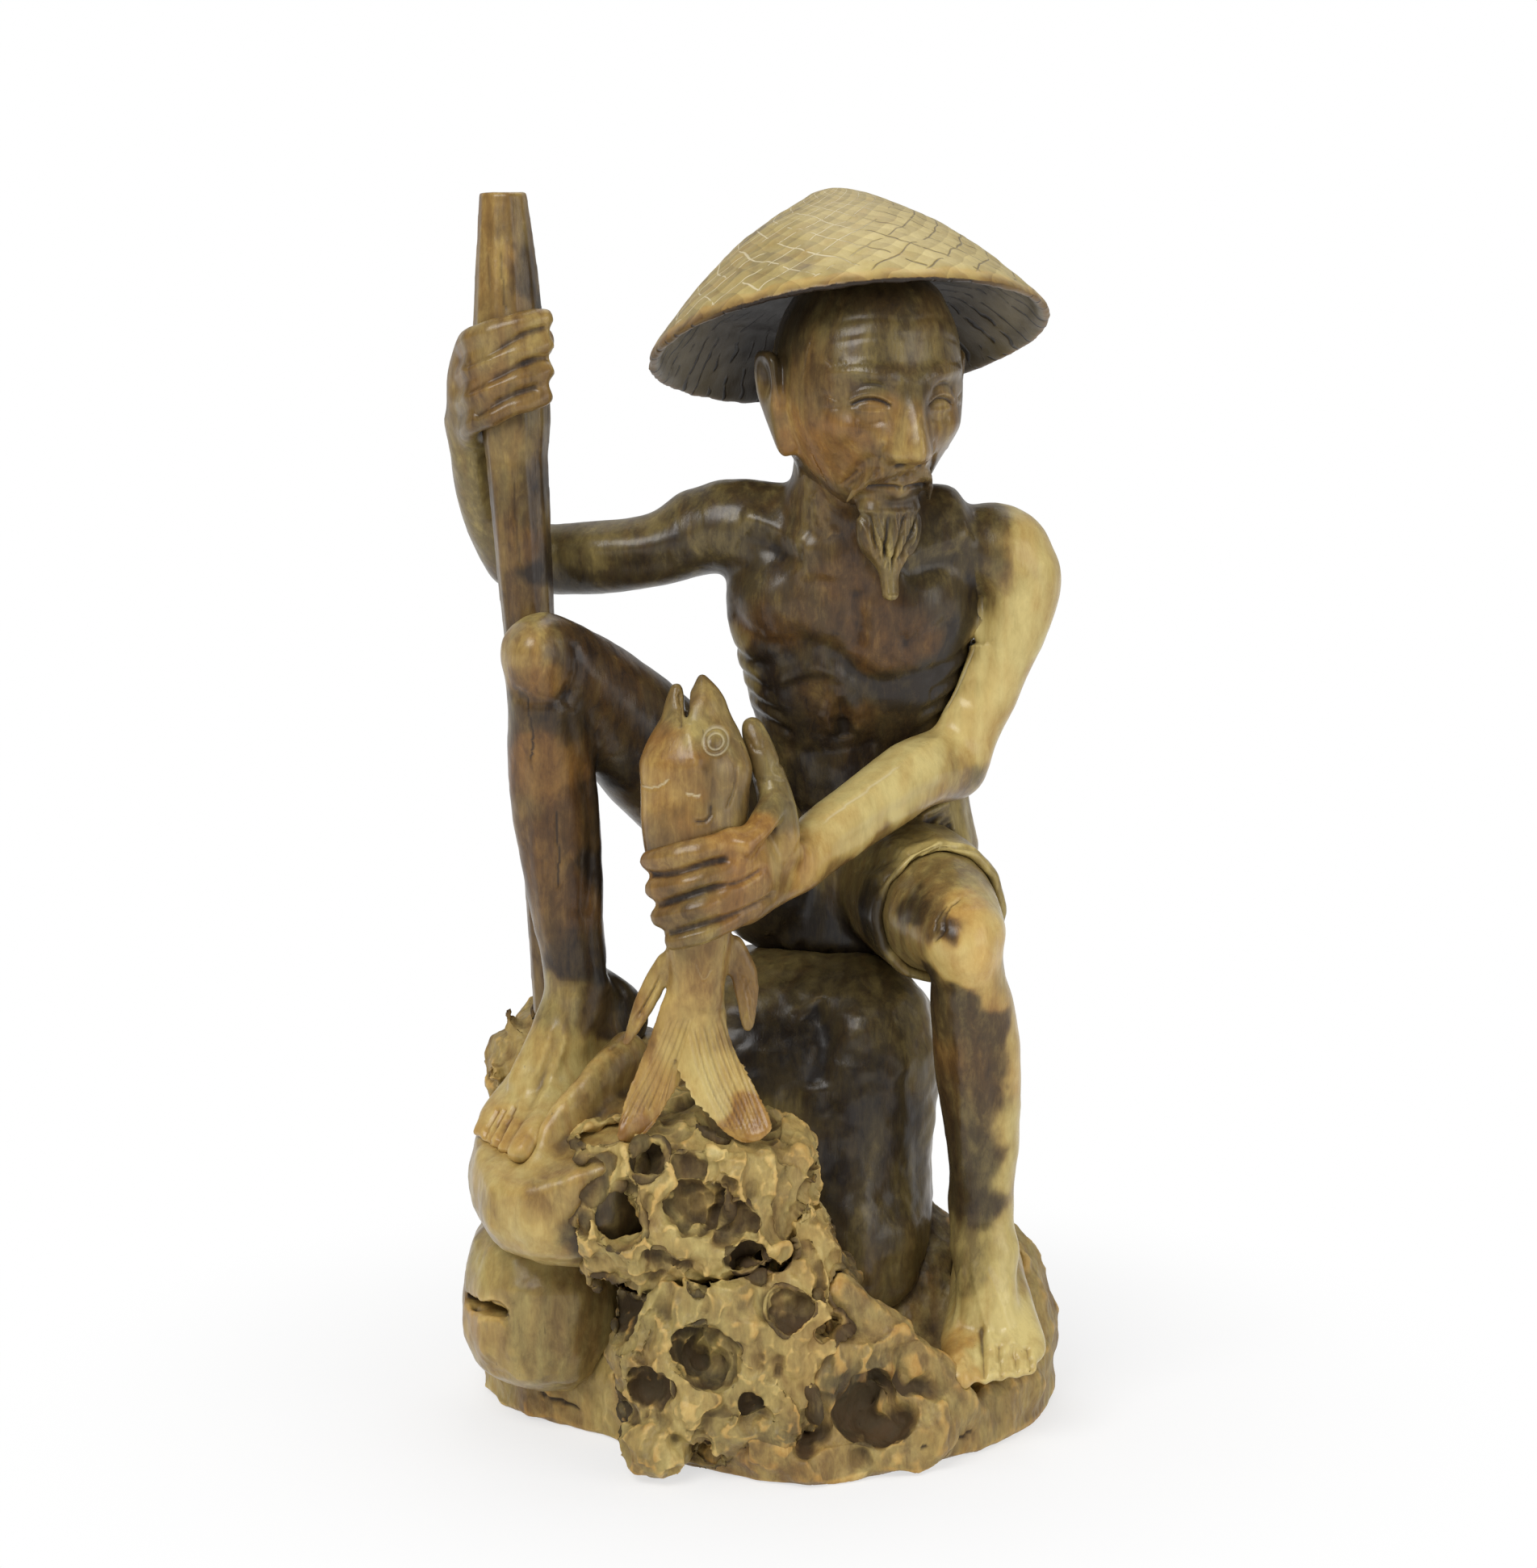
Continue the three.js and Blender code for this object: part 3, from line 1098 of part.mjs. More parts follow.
function clearOf(body, ...neighbours) {
  return neighbours.reduce((left, name) => {
    grown[name] ??= forms[name](jointGap);
    return left.subtract(grown[name]);
  }, body);
}

const forms = {
  trunk,
  hat,
  staff,
  fish,
  shorts,
  rightLeg,
  leftLeg,
  base,
  seatBoulder,
  footBoulder,
  lowBoulder: (grow) => lowBoulder(grow, false),
  staffOutcrop,
  upperOutcrop: (grow) => upperOutcrop(grow, false),
  lowerOutcrop: (grow) => lowerOutcrop(grow, false),
};

const figure = new THREE.Group();
const bodies = [
  ['torso', trunk(0), 0x4a3020, 0.35],
  ['head', clearOf(headForm(0), 'hat', 'trunk'), 0x6e4c2e, 0.4],
  ['hat', hat(0), 0xa8834c, 0.5],
  ['right_arm', clearOf(rightArm(0), 'trunk', 'staff', 'rightLeg'), 0x6b5330, 0.35],
  ['left_arm', clearOf(leftArm(0), 'trunk', 'fish', 'shorts', 'leftLeg'), 0xb88d4e, 0.4],
  ['walking_staff', clearOf(staff(0), 'rightLeg'), 0x7d6036, 0.45],
  ['fish', clearOf(fish(0), 'rightLeg', 'shorts'), 0x9a6a38, 0.4],
  ['short_trousers', clearOf(shorts(0), 'trunk', 'rightLeg', 'leftLeg'), 0x7a6a45, 0.5],
  ['right_leg', clearOf(rightLeg(0), 'trunk'), 0x5d3d24, 0.35],
  ['left_leg', clearOf(leftLeg(0), 'trunk', 'rightLeg'), 0x9a7440, 0.4],
  ['rock_base', clearOf(base(0), 'leftLeg'), 0x7a5a3c, 0.6],
  [
    'seat_boulder',
    clearOf(seatBoulder(0), 'base', 'shorts', 'rightLeg', 'leftLeg', 'trunk', 'fish'),
    0x3a2c22,
    0.5,
  ],
  [
    'foot_boulder',
    clearOf(footBoulder(0), 'base', 'seatBoulder', 'rightLeg', 'staff', 'fish'),
    0x8a6a3e,
    0.5,
  ],
  [
    'low_boulder',
    clearOf(lowBoulder(0), 'base', 'seatBoulder', 'footBoulder', 'rightLeg'),
    0x74583a,
    0.5,
  ],
  [
    'staff_outcrop',
    clearOf(staffOutcrop(0), 'base', 'seatBoulder', 'footBoulder', 'lowBoulder', 'rightLeg', 'staff'),
    0x8a6e40,
    0.6,
  ],
  [
    'upper_outcrop',
    clearOf(upperOutcrop(0), 'base', 'seatBoulder', 'footBoulder', 'lowBoulder', 'rightLeg', 'fish'),
    0x9a7c4a,
    0.6,
  ],
  [
    'lower_outcrop',
    clearOf(lowerOutcrop(0), 'base', 'seatBoulder', 'footBoulder', 'lowBoulder', 'upperOutcrop', 'fish'),
    0x9a7a4c,
    0.6,
  ],
];
for (const [name, body, color, roughness] of bodies) {
  figure.add(mesh(name, body, color, roughness));
}

export default figure;
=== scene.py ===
import itertools
import math
import bpy
import numpy as np
from mathutils import Matrix, Vector


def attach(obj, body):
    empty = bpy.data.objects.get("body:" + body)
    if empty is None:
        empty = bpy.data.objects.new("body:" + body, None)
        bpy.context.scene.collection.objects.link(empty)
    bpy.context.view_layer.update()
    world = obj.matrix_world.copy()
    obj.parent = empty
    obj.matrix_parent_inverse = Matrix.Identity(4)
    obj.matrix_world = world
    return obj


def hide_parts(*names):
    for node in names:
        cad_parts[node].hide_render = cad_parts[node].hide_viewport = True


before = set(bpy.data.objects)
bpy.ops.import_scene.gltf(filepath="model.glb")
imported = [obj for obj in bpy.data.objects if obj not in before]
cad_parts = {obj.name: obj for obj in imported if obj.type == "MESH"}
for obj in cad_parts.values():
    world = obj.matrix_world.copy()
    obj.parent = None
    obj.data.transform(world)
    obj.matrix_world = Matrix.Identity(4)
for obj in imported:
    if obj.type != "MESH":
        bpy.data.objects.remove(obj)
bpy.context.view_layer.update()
mm = 0.001
print("frame loaded:", len(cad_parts), "nodes")


# Blanks: rounded copies of the solids, ready to carve

def deselectAll():
    bpy.ops.object.select_all(action="DESELECT")


def activate(obj):
    deselectAll()
    obj.select_set(True)
    bpy.context.view_layer.objects.active = obj


def modify(obj, kind, **settings):
    activate(obj)
    modifier = obj.modifiers.new(kind.title(), kind)
    for key, value in settings.items():
        setattr(modifier, key, value)
    bpy.ops.object.modifier_apply(modifier=modifier.name)


def copyNode(node, name):
    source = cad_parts[node]
    copy = bpy.data.objects.new(name, source.data.copy())
    bpy.context.scene.collection.objects.link(copy)
    copy.data.materials.clear()
    activate(copy)
    bpy.ops.object.mode_set(mode="EDIT")
    bpy.ops.mesh.select_all(action="SELECT")
    bpy.ops.mesh.remove_doubles(threshold=1e-6)
    bpy.ops.mesh.normals_make_consistent(inside=False)
    bpy.ops.object.mode_set(mode="OBJECT")
    return copy


# Joints where two pieces are carved as one. Each piece keeps a part of its neighbour inside a ball round
# the joint, and that part dips under the neighbour's own skin, so the seam doesn't show.
seams = {
    "neck": {
        "middle": (40.1, -9.9, 390.4), "upwards": (5, -14, 58), "reach": 27, "pair": ("torso", "head"),
        "tones": [
            (19, -24, 379, 12, 0.66, 0.3), (16, -20, 388, 10, 0.68, 0.3), (23, -26, 381, 7, 0.62, 0.9),
            (34, -28, 373, 8, 0.72, 0.5), (60, -20, 380, 12, 0.74, 0.2), (28, -20, 395, 12, 0.64, 0.5),
            (45, -10, 385, 14, 0.76, 0.2), (45, 12, 385, 16, 0.66, 0.2),
        ],
    },
    "rightShoulder": {
        "middle": (-17.4, 9.6, 365.4), "upwards": (-84, 16, -15), "reach": 30, "pair": ("torso", "right_arm"),
        "tones": [
            (-16, -9, 371, 14, 0.64, 0), (-23, 1, 380, 12, 0.62, 0), (3, 1, 384, 14, 0.66, 0.1),
            (-3, -12, 358, 14, 0.74, 0), (-33, -3, 353, 11, 0.76, 0), (-30, -6, 364, 8, 0.55, 0),
            (-15, 30, 365, 22, 0.64, 0.1), (-8, -4, 346, 9, 0.82, 0.1),
        ],
    },
    "leftShoulder": {
        "middle": (89, 8, 354), "upwards": (0.95, 0, 0.3), "reach": 32, "pair": ("torso", "left_arm"),
        "tones": [
            (72, -14, 352, 14, 0.68, 0), (82, -13, 364, 9, 0.64, 0), (97, -6, 368, 8, 0.66, 0.1),
            (84, -10, 328, 8, 0.97, 0), (81, -7, 318, 8, 0.96, 0), (92, -11, 352, 8, 0.8, 0),
            (89, -6, 339, 7, 0.86, 0), (89, -4, 320, 4, 0.6, 0.1), (101, -7, 359, 7, 0.42, 0.2),
            (99, -8, 345, 6, 0.46, 0.2), (112, -6, 358, 11, 0.08, 0.3), (106, -8, 345, 8, 0.24, 0.2),
            (103, -8, 328, 9, 0.14, 0.1), (80, 0, 378, 10, 0.62, 0.1), (85, 35, 355, 16, 0.5, 0.2),
            (110, 30, 350, 16, 0.14, 0.2), (82, 30, 325, 14, 0.6, 0.2),
        ],
        "fills": [((86, 4, 371), 13, 4.5), ((87, -1, 319), 10, 3.2)],
        "lumps": [((86, -2, 371), 15, 1.8), ((86, 16, 370), 14, 1.6)],
    },
}


def seamsOf(node):
    return [seam for seam in seams.values() if node in seam["pair"]]


def neighbourPart(node, name, seam):
    part = copyNode(node, name)
    bpy.ops.mesh.primitive_ico_sphere_add(subdivisions=4, radius=seam["reach"] * mm,
                                          location=[c * mm for c in seam["middle"]])
    ball = bpy.context.active_object
    modify(part, "BOOLEAN", object=ball, operation="INTERSECT", solver="EXACT")
    bpy.data.objects.remove(ball)
    return part


def blank(piece):
    name = piece["name"]
    copies = [copyNode(node, f"{name}_{node}") for node in piece["nodes"]]
    for node in piece["nodes"]:
        for i, seam in enumerate(seamsOf(node)):
            other = [n for n in seam["pair"] if n != node][0]
            copies.append(neighbourPart(other, f"{name}_{other}_{i}", seam))
    for copy in copies:
        modify(copy, "DISPLACE", strength=piece["grow"] * mm, mid_level=0.0)
    deselectAll()
    for copy in copies:
        copy.select_set(True)
    bpy.context.view_layer.objects.active = copies[0]
    if len(copies) > 1:
        bpy.ops.object.join()
    body = copies[0]
    body.name = name
    modify(body, "REMESH", mode="VOXEL", voxel_size=piece["voxel"] * mm)
    return body


# Noise that is the same at each run

corners = list(itertools.product((0, 1), repeat=3))
around = list(itertools.product((-1, 0, 1), repeat=3))
hashing = {"primes": (73856093, 19349663, 83492791), "seed": 2654435761, "first": 1274126177,
           "second": 2246822519, "range": 4294967296}


def hashed(cell, seed):
    wrap = np.uint64(hashing["range"] - 1)
    x, y, z = (cell[:, i].astype(np.uint64) * np.uint64(prime) for i, prime in enumerate(hashing["primes"]))
    value = ((x ^ y ^ z) + np.uint64(seed * hashing["seed"] % hashing["range"])) & wrap
    value = (value ^ (value >> np.uint64(13))) * np.uint64(hashing["first"]) & wrap
    value = (value ^ (value >> np.uint64(16))) * np.uint64(hashing["second"]) & wrap
    return (value ^ (value >> np.uint64(15))).astype(float) / hashing["range"]


def cloud(p, seed):
    low = np.floor(p).astype(np.int64)
    t = p - low
    t = t * t * (3 - 2 * t)
    total = np.zeros(len(p))
    for corner in corners:
        weight = [t[:, i] if corner[i] else 1 - t[:, i] for i in range(3)]
        total += weight[0] * weight[1] * weight[2] * hashed(low + corner, seed)
    return total * 2 - 1


def clouds(p, seed, octaves=2):
    return sum(cloud(p * 2.03 ** i, seed + i) * 0.5 ** i for i in range(octaves))


# A direction that wanders from place to place
def drift(p, size, shift, seed, octaves=2):
    return np.stack([clouds(p / size + shift * k, seed + k, octaves) for k in range(3)], 1)


def scattered(cell, seed, steps=(11, 23, 37)):
    return np.stack([hashed(cell, seed + step) for step in steps], 1)


# Distance to the nearest of many scattered points
def bowls(p, seed):
    low = np.floor(p).astype(np.int64)
    nearest = np.full(len(p), 9.0)
    for step in around:
        cell = low + step
        nearest = np.minimum(nearest, ((cell + scattered(cell, seed) - p) ** 2).sum(1))
    return np.sqrt(nearest)


# Flat facets that each tilt their own way, with a step between neighbours
def facets(p, seed):
    low = np.floor(p).astype(np.int64)
    nearest = np.full(len(p), 9.0)
    height = np.zeros(len(p))
    for step in around:
        cell = low + step
        away = p - cell - scattered(cell, seed)
        lean = scattered(cell, seed, (51, 63, 77)) * 2 - 1
        distance = (away ** 2).sum(1)
        closer = distance < nearest
        nearest = np.where(closer, distance, nearest)
        height = np.where(closer, (away * lean).sum(1) + lean[:, 0] * 0.3, height)
    return np.clip(height, -0.7, 0.7)


def smoothstep(low, high, value):
    t = np.clip((value - low) / (high - low), 0, 1)
    return t * t * (3 - 2 * t)


curveSteps = 24


# A smooth curve through the given points
def curve(points):
    points = np.array(points, float)
    if len(points) < 3:
        return points
    padded = np.vstack([2 * points[0] - points[1], points, 2 * points[-1] - points[-2]])
    steps = max(2, curveSteps // (len(points) - 1))
    line = []
    for i in range(len(points) - 1):
        a, b, c, d = padded[i:i + 4]
        for t in np.arange(steps) / steps:
            line.append(0.5 * (2 * b + (c - a) * t + (2 * a - 5 * b + 4 * c - d) * t ** 2
                               + (3 * b - a - 3 * c + d) * t ** 3))
    return np.array(line + [points[-1]])


# A mesh held as arrays in millimetres while strokes move its skin

carvingRules = {"heldSteps": 20, "strokeReach": 2.6, "facing": 0.05, "facingFull": 0.35}


class Carving:
    def __init__(self, obj):
        self.obj = obj
        self.count = len(obj.data.vertices)
        self.co = self.readIn(obj.data.vertices, "co") / mm
        self.mark = np.zeros(self.count)
        self.refresh()

    def readIn(self, source, name):
        flat = np.empty(self.count * 3, np.float32)
        source.foreach_get(name, flat)
        return flat.reshape(-1, 3).astype(float)

    def writeOut(self, values):
        self.obj.data.vertices.foreach_set("co", values.astype(np.float32).ravel())
        self.obj.data.update()

    def refresh(self):
        self.writeOut(self.co * mm)
        self.normal = self.readIn(self.obj.data.vertex_normals, "vector")

    # Means over the neighbours, done by the smooth modifier on any values written as places
    def blurred(self, values, times, group=""):
        self.writeOut(values)
        modify(self.obj, "SMOOTH", factor=1.0, iterations=times, vertex_group=group)
        return self.readIn(self.obj.data.vertices, "co")

    # Rounds off small steps and keeps the large form: the blurred loss is given back
    def fair(self, times, where=None):
        group = ""
        if where is not None:
            held = self.obj.vertex_groups.new(name="held")
            group = held.name
            steps = np.round(where * carvingRules["heldSteps"]).astype(int)
            for step in range(1, carvingRules["heldSteps"] + 1):
                chosen = np.flatnonzero(steps == step).tolist()
                if chosen:
                    held.add(chosen, step / carvingRules["heldSteps"], "REPLACE")
        soft = self.blurred(self.co, times, group)
        self.co = soft + self.blurred(self.co - soft, times, group)
        if group:
            self.obj.vertex_groups.remove(self.obj.vertex_groups[group])
        self.refresh()

    def push(self, amount):
        self.co += self.normal * np.asarray(amount)[:, None]
        self.refresh()

    def near(self, centre, radius):
        return np.exp(-(((self.co - np.array(centre, float)) ** 2).sum(1) / radius ** 2))

    # A stroke along a bent line. Two numbers per point mean x and z as seen from the front. Three numbers
    # are a place near the skin, which moves to the nearest point on it. A mark above 0 leaves the line
    # pale and one below 0 leaves it dark.
    def stroke(self, points, width, height, fade=0.15, deep=None, space=None, mark=0.0):
        line = curve(points)
        flat = line.shape[1] == 2
        seenFromFront = flat and space is None
        place = self.co if space is None else space
        if not flat:
            line = np.array([self.co[((self.co - spot) ** 2).sum(1).argmin()] for spot in line])
        p = place[:, [0, 2]] if flat else place
        reach = width * carvingRules["strokeReach"]
        inside = ((p > line.min(0) - reach) & (p < line.max(0) + reach)).all(1)
        if seenFromFront:
            inside &= self.normal[:, 1] < -carvingRules["facing"]
        if deep is not None:
            inside &= (place[:, 1] > deep[0]) & (place[:, 1] < deep[1])
        near = np.flatnonzero(inside)
        if not len(near):
            return
        p = p[near]
        best = np.full(len(near), 1e9)
        share = np.zeros(len(near))
        lengths = np.linalg.norm(np.diff(line, axis=0), axis=1)
        start = 0.0
        for i, length in enumerate(lengths):
            step = line[i + 1] - line[i]
            t = np.clip(((p - line[i]) @ step) / max(length ** 2, 1e-9), 0, 1)
            distance = np.linalg.norm(p - line[i] - t[:, None] * step, axis=1)
            closer = distance < best
            best[closer] = distance[closer]
            share[closer] = (start + t[closer] * length) / lengths.sum()
            start += length
        shape = np.exp(-(best / width) ** 2)
        if fade:
            shape = shape * smoothstep(0, fade, share) * smoothstep(0, fade, 1 - share)
        if seenFromFront:
            facing = -self.normal[near, 1]
            shape = shape * smoothstep(carvingRules["facing"], carvingRules["facingFull"], facing)
        self.co[near] += self.normal[near] * (height * shape)[:, None]
        if mark:
            strong = shape * abs(mark) > np.abs(self.mark[near])
            self.mark[near[strong]] = shape[strong] * mark

    def lump(self, centre, radius, height):
        distance = np.linalg.norm(self.co - np.array(centre, float), axis=1)
        self.co += self.normal * (height * np.exp(-(distance / radius) ** 2))[:, None]

    def hollow(self, times):
        soft = self.blurred(self.co, times)
        self.refresh()
        return ((soft - self.co) * self.normal).sum(1)


# Tones set at a few places and mixed over the surface between them, with measures of hollows and edges for
# painted shade and lightened edges

stainAndShadeSettings = {
    "longWander": {"size": 22, "shift": 7, "seed": 5}, "longShare": 5.5,
    "shortWander": {"size": 7, "shift": 3, "seed": 15}, "shortShare": 2.6,
    "spread": 0.75, "elsewhere": 0.4, "least": 1e-6, "edgeTimes": 8,
}


def writeAttribute(mesh, name, values):
    attribute = mesh.attributes.get(name) or mesh.attributes.new(name, "FLOAT", "POINT")
    attribute.data.foreach_set("value", np.asarray(values, np.float32))


def stainAndShade(carving, places, darker, hollowTimes):
    p = carving.co
    moved = p + (drift(p, **stainAndShadeSettings["longWander"]) * stainAndShadeSettings["longShare"]
                 + drift(p, **stainAndShadeSettings["shortWander"]) * stainAndShadeSettings["shortShare"])
    weights = np.full(len(p), stainAndShadeSettings["least"])
    tone = np.full(len(p), stainAndShadeSettings["least"] * stainAndShadeSettings["elsewhere"])
    warm = np.zeros(len(p))
    for x, y, z, reach, toneHere, warmHere in places:
        weight = np.exp(-(((moved - (x, y, z)) ** 2).sum(1)) / (stainAndShadeSettings["spread"] * reach ** 2))
        weights += weight
        tone += weight * toneHere
        warm += weight * warmHere
    mesh = carving.obj.data
    writeAttribute(mesh, "tone", tone / weights + darker)
    writeAttribute(mesh, "warm", warm / weights)
    # the hollow and edge measures let the material paint shade into hollows and lighten raised edges
    writeAttribute(mesh, "hollow", carving.hollow(hollowTimes))
    writeAttribute(mesh, "edge", -carving.hollow(stainAndShadeSettings["edgeTimes"]))
    writeAttribute(mesh, "mark", carving.mark)


# Shader maths

class Value:
    def __init__(self, shader, socket):
        self.shader = shader
        self.socket = socket

    def maths(self, operation, other=None, clamp=False):
        links = {0: self} if other is None else {0: self, 1: other}
        return self.shader.add("ShaderNodeMath", {"operation": operation, "use_clamp": clamp}, links)

    def __add__(self, other):
        return self.maths("ADD", other)

    def __sub__(self, other):
        return self.maths("SUBTRACT", other)

    def __rsub__(self, other):
        return self.shader.add("ShaderNodeMath", {"operation": "SUBTRACT"}, {0: other, 1: self})

    def __mul__(self, other):
        return self.maths("MULTIPLY", other)

    def __pow__(self, other):
        return self.maths("POWER", other)

    def __neg__(self):
        return self.maths("MULTIPLY", -1)

    __radd__ = __add__
    __rmul__ = __mul__

    def clamped(self):
        return self.maths("ADD", 0.0, clamp=True)

    def between(self, low, high):
        return self.shader.add("ShaderNodeMapRange", {"interpolation_type": "SMOOTHSTEP"},
                               {"Value": self, "From Min": low, "From Max": high})

    # Another output of the node that this value comes from
    def output(self, name):
        return Value(self.shader, self.socket.node.outputs[name])


# The nodes of one material, or of the world
class Shader:
    def __init__(self, owner):
        self.owner = owner
        self.owner.use_nodes = True
        self.tree = self.owner.node_tree
        self.tree.nodes.clear()

    def add(self, kind, settings=None, links=None, output=0):
        node = self.tree.nodes.new(kind)
        for key, value in (settings or {}).items():
            if key == "stops":
                ramp = node.color_ramp
                while len(ramp.elements) < len(value):
                    ramp.elements.new(0.5)
                for element, (place, color) in zip(ramp.elements, value):
                    element.position = place
                    element.color = (*color, 1)
            else:
                setattr(node, key, value)
        for key, value in (links or {}).items():
            socket = node.inputs[key]
            if isinstance(value, Value):
                self.tree.links.new(value.socket, socket)
            else:
                socket.default_value = value
        return Value(self, node.outputs[output]) if node.outputs else None

    def attribute(self, name):
        return self.add("ShaderNodeAttribute", {"attribute_name": name}, output=2)

    def mix(self, share, a, b):
        return self.add("ShaderNodeMix", {"data_type": "RGBA"}, {"Factor": share, 6: a, 7: b}, output=2)

    def noise(self, vector, scale, detail, rough, distort=0.0):
        return self.add("ShaderNodeTexNoise", {}, {"Vector": vector, "Scale": scale, "Detail": detail,
                                                   "Roughness": rough, "Distortion": distort})

    def objectPlace(self):
        return self.add("ShaderNodeTexCoord", output=3)

    def stretched(self, scales, turn=(0, 0, 0)):
        return self.add("ShaderNodeMapping", {"vector_type": "POINT"},
                        {"Vector": self.objectPlace(), "Rotation": turn, "Scale": scales})


palette = {
    "stops": (0.0, 0.25, 0.5, 0.75, 1.0),
    "plain": ((0.62, 0.50, 0.20), (0.40, 0.305, 0.105), (0.19, 0.14, 0.05), (0.068, 0.048, 0.02),
              (0.02, 0.014, 0.009)),
    "warm": ((0.66, 0.45, 0.15), (0.47, 0.27, 0.07), (0.25, 0.122, 0.031), (0.106, 0.05, 0.015),
             (0.028, 0.015, 0.008)),
    "chalk": (0.66, 0.57, 0.36, 1),
    "crack": (0.03, 0.018, 0.01, 1),
}

# Noises of the wood: how it is stretched along the log and turned, its scale, detail, roughness and
# distortion, and its share in the tone
woodNoises = {
    "streaks": ((0.55, 0.55, 0.045), (math.radians(4), math.radians(-3), 0), (1000.0, 4.0, 0.62, 0.4), 0.17),
    "fibres": ((1, 1, 0.06), (math.radians(-5), math.radians(4), 0), (1500.0, 2.0, 0.6), 0.08),
    "patches": ((1, 1, 0.6), (0, 0, 0), (66.0, 4.0, 0.62, 0.5), 2.4),
    "finePatches": ((1, 1, 0.45), (0, 0, 0), (230.0, 4.0, 0.68, 0.6), 1.9),
    "veins": ((1, 1, 0.4), (0.2, -0.1, 0), (120.0, 5.0, 0.7, 0.8), 1.1),
}

# The recess settings paint shade into hollows, partly also standing for the dark wax and dirt a carving holds
# there; the worn setting lightens edges, partly as wear and partly as painted highlight
usualLook = {
    "grain": 1.0, "mottle": 0.12, "figure": 0.0, "roughness": 0.34, "coat": 0.06, "dull": 0.0, "bump": 0.3,
    "rawEdge": 0.0, "recessShade": 0.42, "recessShadeAt": 1.5, "worn": 0.17, "darkest": 1.0,
}

# Growth rings round the log's own line, short checks along the grain, and the chips that a chisel leaves
rings = {
    "stretch": (1, 1, 0.28), "wobble": (21.0, 2.0, 0.5),
    "kind": {"wave_type": "RINGS", "rings_direction": "Z", "wave_profile": "SIN"},
    "wave": {"Scale": 38.0, "Distortion": 8.0, "Detail": 3.0, "Detail Scale": 1.4, "Detail Roughness": 0.62},
}
checking = {"stretch": (1, 1, 0.06), "noise": (420.0, 2.0, 0.5), "ends": (0.735, 0.8), "strength": 0.4}
chipping = {"stretch": (1, 1, 0.8), "cells": {"Scale": 300.0, "Smoothness": 0.2}, "height": 1.6}

# What all woods share: how the wax shines, how deep the bump goes, and where tones, the painted shade in
# hollows and the lightened edges begin and end
finish = {
    "coatRoughness": 0.16, "ior": 1.5, "specular": 0.36, "bumpDistance": 0.0009,
    "hollowFrom": 0.12, "wornEdge": (0.06, 0.55), "glowEdge": (0.1, 0.6), "marked": (0.12, 0.8),
    "chalkStrength": 0.8, "crackStrength": 0.85, "dullHollow": (0.2, 1.4), "dullShare": 0.25,
    "paleWood": 0.75, "darkWood": (0.0, 0.6), "darkMore": 0.4,
}


# A noise as a change to both sides of nothing
def swayed(noise, share):
    return (noise - 0.5) * share


